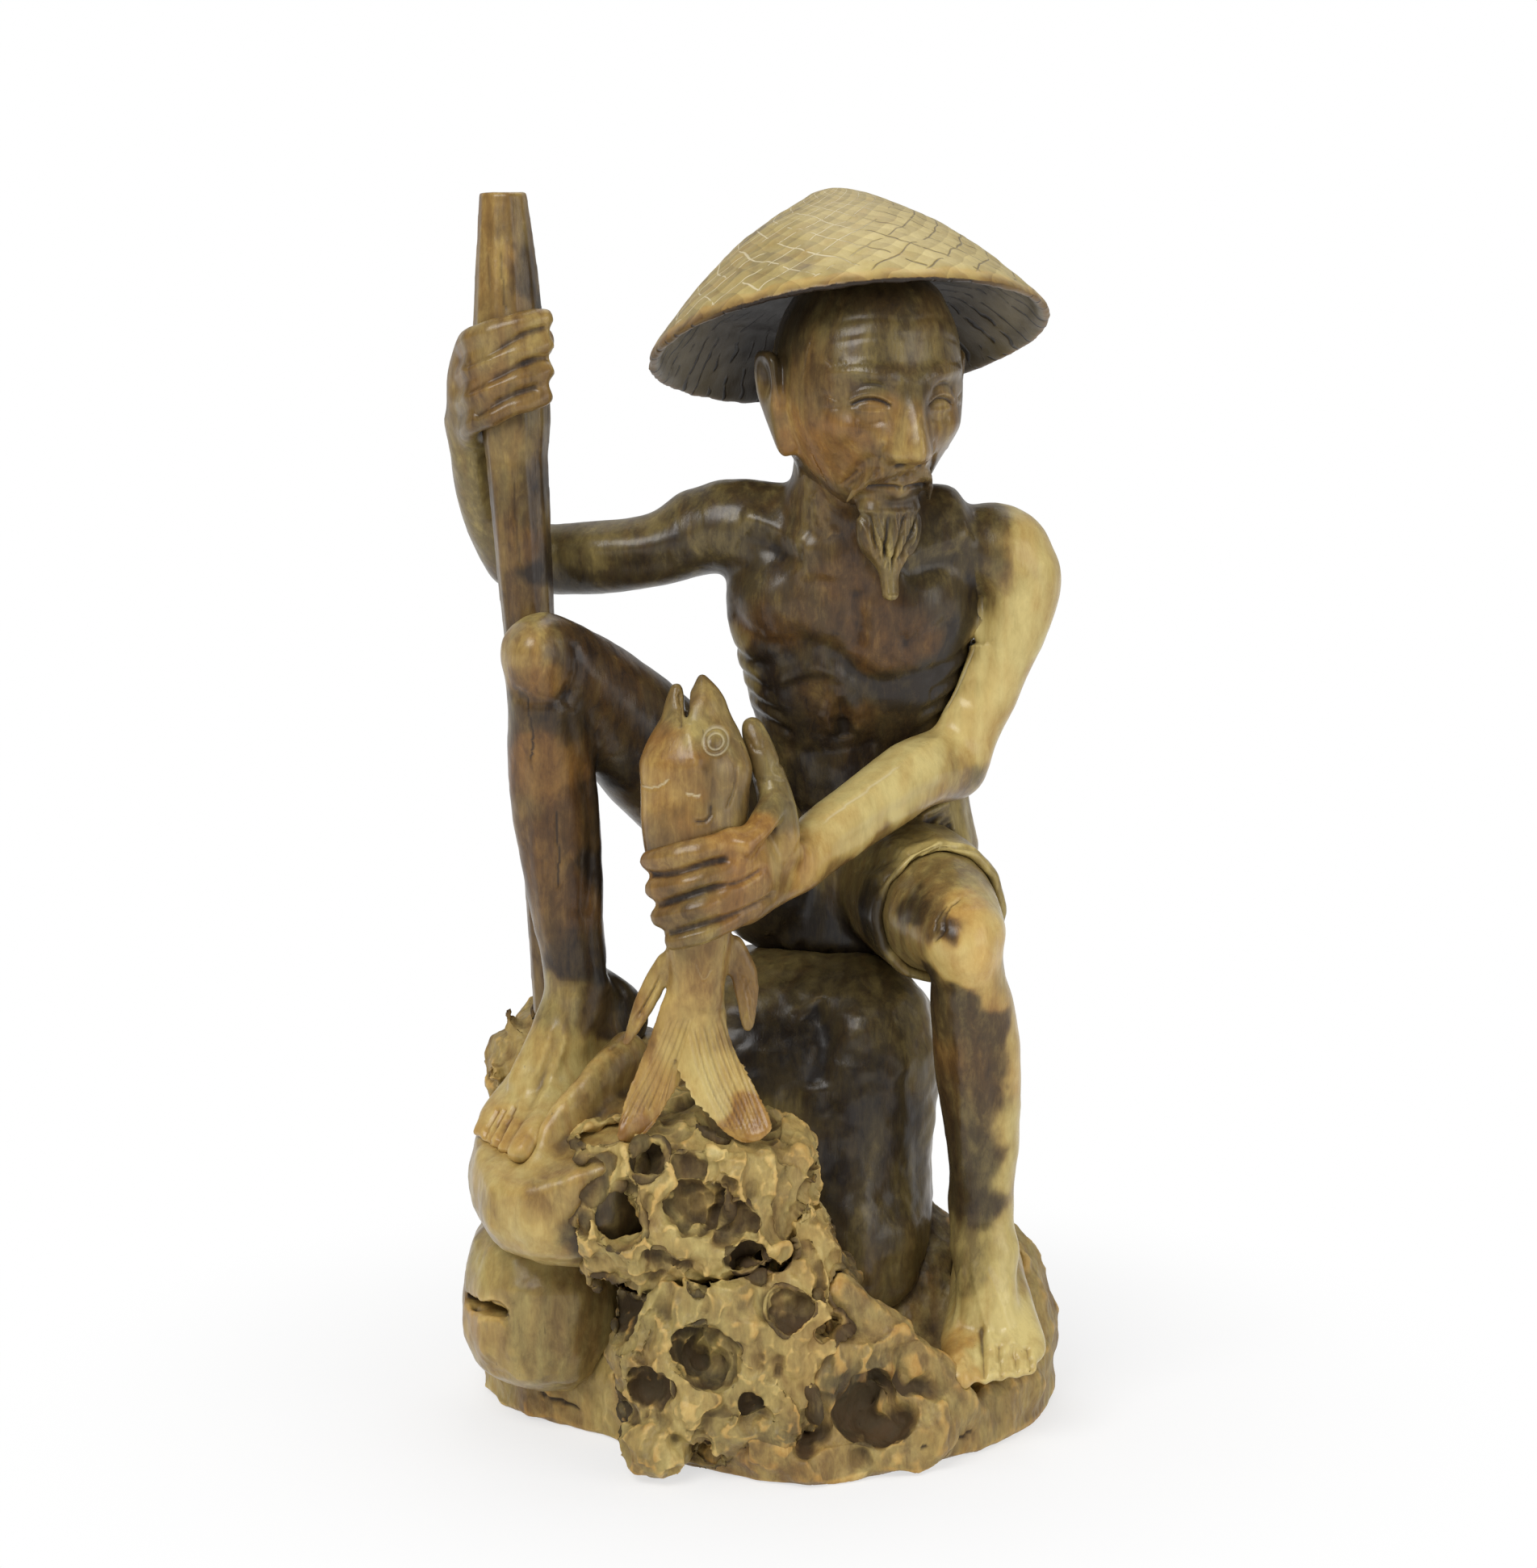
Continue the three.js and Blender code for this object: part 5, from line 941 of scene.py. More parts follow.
leftArm = {
    "name": "carved_left_arm", "nodes": ["left_arm"], "slot": "pale_sapwood", "material": body,
    "voxel": 0.85, "grow": 1.0, "shrink": 0.75, "rounding": 5.2, "undulation": 0.25, "darker": 0.05,
    "keepFine": [(-20, -104, 236, 30, 0.9), (0, -88, 275, 16, 0.7)],
    "lumps": [
        ((-26, -113, 241), 5, 0.8), ((-22, -113, 229), 5, 0.8), ((94, -2, 272), 9, 1.2),
        ((100, -6, 345), 12, 0.8), ((121, 4, 345), 18, 2.4), ((113, 2, 318), 15, 2.0),
        ((104, 0, 294), 11, 1.4),
    ],
    "strokes": [
        groove(1.4, 1.5, (-46, 241), (-34, 243), (-21, 247), (-10, 249), fade=0.08),
        groove(1.4, 1.5, (-42, 229), (-21, 237), (-6, 240), (4, 245), fade=0.08),
        groove(1.4, 1.5, (-37, 219), (-21, 224), (-6, 228), (8, 233), fade=0.08),
        groove(0.8, 0.5, (88, -2, 320), (86, -1, 313), (81, -1, 301), (75, 1, 289), mark=0.6),
        groove(0.7, 0.4, (59, -32, 274), (39, -55, 263), (22, -74, 254), mark=0.55),
        groove(4, 0.9, (97, -6, 322), (91, -5, 305), (84, -5, 292)),
        ridge(3.2, 0.9, (79, -4, 283), (59, -32, 274), (39, -55, 263), (22, -74, 254)),
        groove(3.5, 1.0, (74, -12, 268), (56, -34, 260), (38, -56, 251), (24, -74, 244)),
        groove(2.5, 0.8, (19, -74, 255), (15, -88, 250), (10, -94, 240)),
        groove(1.2, 0.7, (3, -82, 280), (7, -89, 280), (10, -86, 279)),
        groove(1.0, 0.6, (2, -84, 276), (7, -90, 276), (11, -88, 275)),
        groove(0.6, 0.5, (-3, -84, 292), (-1, -87, 288), (2, -88, 288), (3, -86, 293), (1, -84, 297),
               fade=0.0),
    ],
    "tones": [
        (104, -7, 326, 14, 0.02, 0),
        (99, -5, 305, 13, 0.04, 0.2), (117, -2, 331, 8, 0.2, 0.5), (86, -5, 292, 12, 0.02, 0.3),
        (112, -2, 308, 6, 0.24, 0.5), (93, -4, 318, 5, 0.3, 0.3), (104, 0, 290, 6, 0.2, 0.6),
        (87, -3, 308, 6, 0.3, 0.1), (90, -3, 275, 9, 0.12, 0.4), (86, -5, 260, 6, 0.6, 0.1),
        (62, -29, 275, 12, 0, 0.1), (45, -51, 264, 12, 0, 0.1), (29, -72, 253, 9, 0.08, 0.4),
        (19, -83, 245, 8, 0.25, 0.8), (-3, -107, 246, 9, 0.38, 1), (-12, -111, 236, 8, 0.46, 0.8),
        (6, -97, 235, 8, 0.5, 0.6), (6, -93, 253, 7, 0.3, 0.5), (7, -89, 281, 8, 0.5, 0.1),
        (2, -84, 296, 7, 0.52, 0.2), (11, -92, 266, 8, 0.52, 0.1), (-34, -110, 242, 7, 0.48, 0.7),
        (-27, -113, 233, 7, 0.56, 0.3), (-21, -113, 222, 8, 0.5, 0.3), (70, -18, 255, 8, 0.3, 0.7),
        (48, -45, 243, 7, 0.52, 0.5), (30, -68, 237, 7, 0.48, 0.5),
        (116, 20, 340, 26, 0.12, 0.2), (100, 22, 290, 22, 0.18, 0.3), (70, -5, 255, 16, 0.4, 0.4),
    ],
}
carvePiece(leftArm)

# Staff
staff = {
    "name": "whittled_staff", "nodes": ["walking_staff"], "slot": "mid_wood", "material": body,
    "voxel": 0.85, "rounding": 1.2, "undulation": 0.15, "darker": 0.11,
    "strokes": [
        groove(0.9, 0.5, (-101, -37, 480), (-100, -38, 462), (-99, -38, 452), mark=-0.5),
        groove(0.8, 0.5, (-97, -38, 392), (-96, -38, 372), (-94, -38, 350), mark=-0.5),
        groove(0.7, 0.4, (-106, -34, 478), (-105, -35, 460), mark=-0.4),
    ],
    "tones": [
        (-104, -34, 493, 9, 0.36, 0.5), (-95, -33, 490, 7, 0.5, 0.3), (-106, -35, 472, 9, 0.36, 0.5),
        (-90, -33, 468, 6, 0.72, 0.2), (-101, -38, 456, 9, 0.4, 0.4), (-86, -26, 456, 5, 0.88, 0.1),
        (-104, -35, 396, 8, 0.46, 0.4), (-97, -38, 386, 8, 0.55, 0.3), (-88, -35, 386, 7, 0.88, 0.3),
        (-101, -35, 361, 7, 0.5, 0.5), (-93, -38, 361, 5, 0.7, 0.8), (-87, -35, 354, 6, 0.92, 0.2),
        (-96, -37, 341, 7, 0.6, 0.5), (-92, -20, 290, 30, 0.6, 0.3), (-88, -18, 220, 30, 0.55, 0.4),
        (-85, -16, 175, 20, 0.5, 0.4), (-95, -15, 470, 12, 0.55, 0.3), (-95, -15, 390, 14, 0.6, 0.3),
    ],
}
carvePiece(staff)

# Fish
fishPiece = {
    "name": "carved_fish", "nodes": ["fish"], "slot": "mid_wood", "material": body,
    "voxel": 0.65, "rounding": 3.6, "undulation": 0.16, "darker": 0.08,
    "keepFine": [(-28, -98, 160, 34, 0.95), (-28, -91, 309, 10, 0.95)],
    "tones": [
        (-31, -91, 306, 6, 0.45, 0.2), (-34, -102, 289, 9, 0.42, 0.9), (-37, -104, 268, 9, 0.34, 0.8),
        # the pale tone at (-24, -99, 298) is a painted highlight on the ridge of the head
        (-27, -107, 279, 8, 0.42, 0.7), (-24, -99, 298, 6, 0.25, 0), (-15, -105, 280, 7, 0.48, 0.3),
        (-12, -104, 268, 7, 0.5, 0.3), (-6, -97, 285, 6, 0.4, 0.3), (-18, -94, 307, 6, 0.35, 0.3),
        (-27, -107, 262, 8, 0.54, 0.7), (-37, -104, 256, 6, 0.5, 0.5), (-22, -101, 201, 9, 0.35, 0.5),
        (-31, -96, 184, 9, 0.14, 0.4), (-28, -98, 172, 9, 0.06, 0.2), (-44, -99, 159, 8, 0.26, 0.7),
        (-49, -103, 144, 5, 0.4, 0.9), (-19, -98, 162, 8, 0.04, 0.2), (-4, -103, 146, 5, 0.3, 0.9),
        (-50, -95, 180, 8, 0.4, 0.6), (-2, -91, 190, 8, 0.45, 0.5), (-16, -101, 293, 5, 0.46, 0.2),
        (-24, -85, 290, 12, 0.5, 0.3), (-24, -85, 180, 14, 0.4, 0.4),
    ],
    "strokes": [
        groove(0.9, 1.2, (-28, -90, 312), (-30, -94, 304), (-29, -100, 297)),
        ridge(2.2, 0.8, (-27, -98, 300), (-25, -104, 291), (-23, -107, 281)),
        groove(0.6, 0.6, (-45, -92, 275), (-40, -101, 275), (-36, -104, 277), (-33, -105, 280), mark=0.55),
        groove(0.8, 0.9, (-25, -107, 263), (-20, -107, 263), (-18, -106, 266), (-18, -106, 270), mark=-0.6),
        groove(0.6, 0.5, (-28, -106, 274), (-25, -106, 273), (-21, -106, 273), mark=0.6),
        groove(0.6, 0.5, (-25, -102, 208), (-21, -101, 200), (-17, -100, 205), mark=0.3),
        groove(0.7, 0.6, (-12, -105, 266), (-9, -102, 274), (-9, -100, 284), mark=-0.4),
    ],
    "eyeRings": {"middle": (-16, 293), "radii": (5.0, 3.0)}, "rays": 9, "finRays": 3,
    "fork": -29.5, "blades": (-43.0, -10.0), "bladeWidth": 9,
}
fishStrokes = fishPiece["strokes"]
for radius in fishPiece["eyeRings"]["radii"]:
    x, z = fishPiece["eyeRings"]["middle"]
    ring = [(x + radius * math.cos(a), z + radius * math.sin(a)) for a in np.linspace(0, 2 * math.pi, 25)]
    fishStrokes.append(groove(0.5, 0.7, *ring, fade=0.0, mark=0.55))
for i in range(fishPiece["rays"]):
    t = i / (fishPiece["rays"] - 1)
    pale = -0.4 if i % 2 else 0.25
    fishStrokes.append(groove(0.6, 0.75, (-33 + 8 * t, 186), (-42 + 10 * t, 165), (-56 + 20 * t, 140 + 9 * t),
                              fade=0.1, mark=pale))
    fishStrokes.append(groove(0.6, 0.75, (-27 + 14 * t, 182 + 4 * t), (-22 + 16 * t, 162 + 3 * t),
                              (-10 + 14 * t, 137 + 3 * t), fade=0.1, mark=pale))
for i in range(fishPiece["finRays"]):
    fishStrokes.append(groove(0.6, 0.6, (-36 - 1.5 * i, -93, 203 - 3 * i), (-43 - 1.2 * i, -94, 190 - 2 * i),
                              (-50, -95, 177 + 2 * i)))
    fishStrokes.append(groove(0.6, 0.6, (-10 + 2 * i, -91, 207 - 2 * i), (-5 + 1.6 * i, -91, 195),
                              (-2 + 1.5 * i, -91, 180 + 2 * i)))


# The tail spreads and its two blades are dished
def fishWork(c):
    low = smoothstep(178, 146, c.co[:, 2])
    fromFork = c.co[:, 0] - fishPiece["fork"]
    side = np.sign(fromFork)
    c.co[:, 0] += low * (0.26 * fromFork + np.where(side > 0, 1.5, 1.0))
    leftBlade, rightBlade = fishPiece["blades"]
    across = (c.co[:, 0] - np.where(side > 0, rightBlade, leftBlade)) / fishPiece["bladeWidth"]
    c.co[:, 2] -= low * 3.0 * np.clip(across * side, -1, 1.2)
    front = smoothstep(0.1, 0.5, -c.normal[:, 1])
    c.co[:, 1] += low * front * (4.0 * np.exp(-across ** 2 * 1.8) - 1.4)
    c.refresh()


carvePiece(fishPiece, fishWork)

# Hat
hatPiece = {
    "name": "woven_hat", "nodes": ["hat"], "slot": "hat_wood", "material": straw,
    "voxel": 0.95, "rounding": 3.0, "undulation": 0.55, "darker": 0.04,
    "tones": [
        (33, -16, 495, 26, 0.22, 0.0), (-10, -10, 470, 26, 0.26, 0.12), (80, -20, 470, 30, 0.16, -0.1),
        (20, -70, 462, 26, 0.15, 0.0), (5, -45, 480, 22, 0.28, 0.05), (60, -50, 470, 26, 0.13, -0.1),
        (110, -10, 460, 20, 0.2, 0.05), (40, 60, 470, 40, 0.22, 0.0),
    ],
}


# Marks the hollow underside, which the material paints dark as shade under the hat
def hatWork(c):
    tilt = (Matrix.Rotation(math.radians(-weaving["tiltSide"]), 3, "Y")
            @ Matrix.Rotation(math.radians(-weaving["tiltBack"]), 3, "X"))
    axis = np.array(tilt @ Vector((0, 0, 1)))
    writeAttribute(c.obj.data, "under", smoothstep(0.05, -0.2, c.normal @ axis))


carvePiece(hatPiece, hatWork)

# Shorts
shorts = {
    "name": "cloth_shorts", "nodes": ["short_trousers"], "slot": "mid_wood", "material": body,
    "voxel": 1.05, "rounding": 3.6, "undulation": 0.3,
    "tones": [
        (84, 17, 241, 9, 0.42, 0), (69, -25, 243, 9, 0.4, 0), (78, -36, 242, 8, 0.32, 0),
        (58, -40, 237, 7, 0.3, 0), (52, -41, 225, 8, 0.6, 0), (46, -40, 215, 8, 0.9, 0),
        (20, 7, 198, 12, 1, 0), (7, 21, 185, 10, 1, 0), (37, 7, 188, 10, 0.98, 0),
        (54, 16, 179, 9, 0.95, 0), (90, 30, 235, 14, 0.42, 0), (40, 60, 220, 40, 0.55, 0.1),
        (-20, 20, 225, 22, 0.75, 0.2), (95, -10, 235, 12, 0.4, 0.0),
    ],
    "strokes": [], "creases": 4,
}
folds = [
    [(61, 224), (68, 235), (81, 241), (93, 238)], [(54, 222), (62, 234), (75, 243), (88, 245)],
    [(45, 221), (55, 234), (68, 243), (85, 250)], [(37, 225), (49, 233), (62, 240), (74, 247)],
    [(60, 243), (72, 251), (86, 256)],
]
for fold in folds:
    over = [(x - 1.5, z + 3.4) for x, z in fold]
    shorts["strokes"].append(groove(1.6, 2.4, *fold, deep=(-62, 14), fade=0.2))
    shorts["strokes"].append(ridge(1.9, 1.4, *over, deep=(-62, 14), fade=0.2))
for i in range(shorts["creases"]):
    crease = [(4 + 12 * i, 196 - 3 * i), (9 + 12 * i, 188 - 3 * i), (16 + 12 * i, 184 - 2 * i)]
    shorts["strokes"].append(groove(2.0, 1.2, *crease, deep=(-40, 40)))
carvePiece(shorts)

# Legs
rightLeg = {
    "name": "carved_right_leg", "nodes": ["right_leg"], "slot": "dark_heartwood", "material": body,
    "voxel": 1.0, "grow": 0.7, "shrink": 0.45, "rounding": 5.0, "undulation": 0.35, "darker": 0.05,
    "keepFine": [(-98, -70, 134, 20, 0.9)],
    "lumps": [((-89, -69, 326), 8, 1.2), ((-73, -57, 183), 6, 1.8), ((-52, -30, 182), 6, 1.0)],
    "strokes": [
        groove(3.0, 1.5, (-97, -62, 309), (-91, -65, 304), (-79, -65, 304), (-72, -60, 309)),
        groove(3.2, 1.4, (-73, -60, 328), (-71, -61, 315), (-75, -62, 299)),
        ridge(3.5, 1.3, (-88, -64, 293), (-87, -60, 274), (-87, -58, 247), (-85, -57, 221), (-80, -56, 195)),
        groove(3.5, 1.5, (-71, -57, 283), (-67, -54, 260), (-66, -54, 234), (-70, -57, 211)),
        groove(3.0, 1.4, (-61, -48, 196), (-58, -37, 186), (-56, -32, 176)),
        ridge(1.8, 0.8, (-80, -57, 175), (-88, -61, 156), (-98, -68, 138)),
        ridge(1.8, 0.8, (-76, -59, 172), (-82, -63, 153), (-91, -77, 139)),
        groove(1.6, 0.7, (-78, -58, 170), (-85, -62, 154), (-94, -73, 139)),
        groove(1.3, 1.6, (-104, -62, 140), (-107, -65, 134), (-109, -69, 127), fade=0.1),
        groove(1.3, 1.6, (-101, -64, 141), (-104, -67, 135), (-106, -72, 127), fade=0.1),
        groove(1.4, 1.8, (-97, -66, 143), (-100, -70, 136), (-102, -76, 127), fade=0.1),
        groove(0.6, 0.6, (-92, -66, 306), (-89, -64, 290), (-90, -62, 277), mark=-0.8),
        groove(0.6, 0.6, (-80, -62, 262), (-79, -60, 240), (-80, -59, 226), mark=-0.8),
    ],
    "tones": [
        (-92, -57, 334, 7, 0.3, 0.1), (-100, -58, 324, 8, 0.4, 0.5), (-88, -69, 326, 8, 0.38, 0.5),
        (-91, -69, 311, 6, 0.66, 0.8), (-82, -67, 310, 7, 0.5, 0.8), (-74, -61, 330, 8, 0.7, 0.3),
        (-68, -58, 318, 10, 0.82, 0.5), (-54, -47, 307, 11, 0.78, 0.6), (-48, -43, 290, 10, 0.86, 0.3),
        (-58, -39, 274, 9, 0.93, 0.1), (-92, -64, 298, 7, 0.68, 0.3), (-76, -63, 296, 9, 0.85, 0.3),
        (-89, -60, 273, 9, 0.6, 0.9), (-79, -61, 280, 9, 0.58, 1), (-96, -54, 260, 7, 0.62, 0.5),
        (-88, -58, 241, 9, 0.68, 0.8), (-76, -59, 254, 9, 0.7, 0.8), (-65, -50, 259, 9, 0.86, 0.4),
        (-64, -51, 233, 8, 0.95, 0.2), (-77, -59, 221, 9, 0.7, 0.8), (-87, -53, 211, 8, 0.6, 0.5),
        (-72, -57, 201, 8, 0.85, 0.3), (-64, -53, 194, 6, 0.92, 0), (-77, -57, 178, 8, 0.4, 0.1),
        (-64, -54, 178, 7, 0.7, 0.3), (-51, -25, 178, 8, 0.92, 0), (-84, -60, 163, 8, 0.2, 0.3),
        (-93, -62, 147, 9, 0.14, 0.3), (-103, -70, 134, 7, 0.2, 0.7), (-77, -61, 153, 8, 0.2, 0.1),
        (-70, -20, 290, 22, 0.72, 0.3), (-75, -25, 240, 20, 0.62, 0.4), (-20, -10, 270, 22, 0.85, 0.1),
    ],
}
carvePiece(rightLeg)

leftLeg = {
    "name": "carved_left_leg", "nodes": ["left_leg"], "slot": "pale_sapwood", "material": body,
    "voxel": 0.95, "grow": 0.7, "shrink": 0.45, "rounding": 5.0, "undulation": 0.35,
    "keepFine": [(97, -76, 36, 20, 0.9)],
    "lumps": [((77, -83, 212), 7, 1.2), ((103, -51, 78), 6, 1.6), ((81, -50, 78), 5, 1.2)],
    "strokes": [
        groove(4.0, 0.6, (65, -52, 193), (72, -71, 189), (81, -76, 187), (92, -73, 191)),
        groove(0.6, 0.8, (81, -68, 226), (74, -76, 221), (73, -80, 214), (68, -78, 209), mark=-0.6),
        groove(0.5, 0.6, (75, -72, 224), (70, -77, 219), (70, -79, 213), mark=-0.55),
        ridge(3.5, 1.2, (79, -71, 178), (81, -65, 154), (82, -60, 130), (81, -53, 101)),
        groove(3.5, 1.3, (90, -70, 175), (94, -65, 151), (95, -61, 123), (93, -56, 95)),
        ridge(1.8, 0.9, (83, -58, 75), (80, -56, 58), (78, -64, 47)),
        ridge(1.8, 0.9, (86, -59, 76), (90, -64, 57), (95, -75, 40)),
        ridge(1.8, 0.9, (90, -60, 76), (98, -64, 57), (104, -76, 39)),
        groove(1.5, 2.0, (89, -65, 50), (90, -70, 44), (90, -80, 36), (90, -84, 31), fade=0.1),
        groove(1.2, 1.6, (96, -70, 44), (97, -78, 38), (97, -83, 31), fade=0.1),
        groove(1.2, 1.6, (102, -70, 44), (103, -78, 37), (103, -82, 31), fade=0.1),
        groove(1.2, 1.6, (107, -69, 42), (109, -76, 37), (109, -80, 31), fade=0.1),
        groove(0.6, 0.5, (79, -82, 42), (81, -81, 44), (84, -81, 43), (85, -83, 39), fade=0.0),
        groove(0.5, 0.4, (92.5, -80, 36), (94, -79, 38), (95.5, -80, 36), fade=0.0),
        groove(0.5, 0.4, (98.5, -79, 36), (100, -79, 38), (101.5, -80, 36), fade=0.0),
    ],
    "tones": [
        (81, -52, 233, 8, 0.48, 0.1), (92, -60, 228, 8, 0.2, 0.1), (70, -62, 228, 6, 0.5, 0.3),
        (78, -70, 225, 6, 0.22, 0.7), (66, -72, 216, 6, 0.62, 0.3), (63, -60, 222, 6, 0.8, 0.1),
        (73, -80, 216, 4, 0.85, 0.3), (82, -80, 219, 7, 0.15, 0.8), (91, -78, 216, 7, 0.1, 0.5),
        (76, -82, 205, 7, 0.1, 0.4), (64, -69, 203, 6, 0.4, 0.3), (85, -82, 200, 7, 0.12, 0.9),
        (93, -72, 188, 6, 0.3, 0.8), (70, -70, 191, 5, 0.88, 0.1), (80, -75, 186, 7, 0.78, 0.2),
        (96, -69, 191, 5, 0.3, 0.2), (74, -66, 174, 8, 0.78, 0.2), (84, -70, 171, 9, 0.74, 0.3),
        (75, -62, 160, 9, 0.66, 0.7), (76, -60, 146, 10, 0.78, 0.4), (85, -66, 156, 9, 0.74, 0.3),
        (86, -64, 142, 9, 0.76, 0.3), (77, -57, 130, 10, 0.82, 0.2), (86, -62, 128, 10, 0.78, 0.2),
        (79, -54, 114, 10, 0.84, 0.1), (87, -60, 112, 9, 0.78, 0.1), (84, -53, 98, 10, 0.82, 0.1),
        (101, -63, 166, 6, 0.22, 0.3), (103, -60, 152, 7, 0.15, 0.5), (103, -58, 132, 8, 0.15, 0.1),
        (103, -55, 107, 8, 0.12, 0), (100, -54, 90, 7, 0.15, 0), (79, -49, 73, 8, 0.5, 0),
        (88, -59, 76, 7, 0.45, 0), (99, -58, 75, 8, 0.12, 0), (85, -63, 57, 8, 0.2, 0.2),
        (101, -64, 50, 9, 0.05, 0), (78, -67, 46, 5, 0.25, 0.8), (84, -82, 38, 5, 0.15, 0.7),
        (103, -77, 38, 8, 0.12, 0.2), (72, -40, 150, 14, 0.7, 0.2), (105, -25, 150, 24, 0.2, 0.2),
        (98, -15, 80, 24, 0.3, 0.2), (75, -20, 215, 20, 0.5, 0.2),
    ],
}
carvePiece(leftLeg)


# Rocks: chisel facets and small bowls with thin edges between them, and pits bent out of round.
# A size and an amount each, in millimetres.
rockForms = {
    "bends": ((19, 3.6), (8, 1.7)), "facets": ((24, 4.6), (11, 2.6), (5.5, 1.1)),
    "bowls": ((13, 2.6), (4.5, 0.9)), "warp": (12, 3.0), "facetStretch": (1, 1, 0.75),
    "bowlStretch": (1, 1, 0.8), "widest": 1.1,
}


def rockWork(rock):
    def work(c):
        share = smoothstep(0.5, 5.0, c.co[:, 2])
        for middle, reach, more in rock.get("rugged", ()):
            share = share * (1 + more * c.near(middle, reach))
        if "bend" in rock:
            for size, amount in rockForms["bends"]:
                c.co += drift(c.co, size, 9, 80, 1) * (amount * rock["bend"] * share)[:, None]
            c.refresh()
        warpSize, warpAmount = rockForms["warp"]
        warp = drift(c.co, warpSize, 5, 60) * warpAmount
        for i, (size, amount) in enumerate(rockForms["facets"]):
            height = facets((c.co + warp) * rockForms["facetStretch"] / size, 3 + 10 * i) - 0.15
            c.push(rock["rough"] * amount * height * share)
        for i, (size, amount) in enumerate(rockForms["bowls"]):
            away = bowls((c.co + warp) * rockForms["bowlStretch"] / size, 33 + 10 * i)
            c.push(rock["rough"] * amount * (np.minimum(away, rockForms["widest"]) ** 2 - 0.5) * share)
        c.fair(2)
    return work


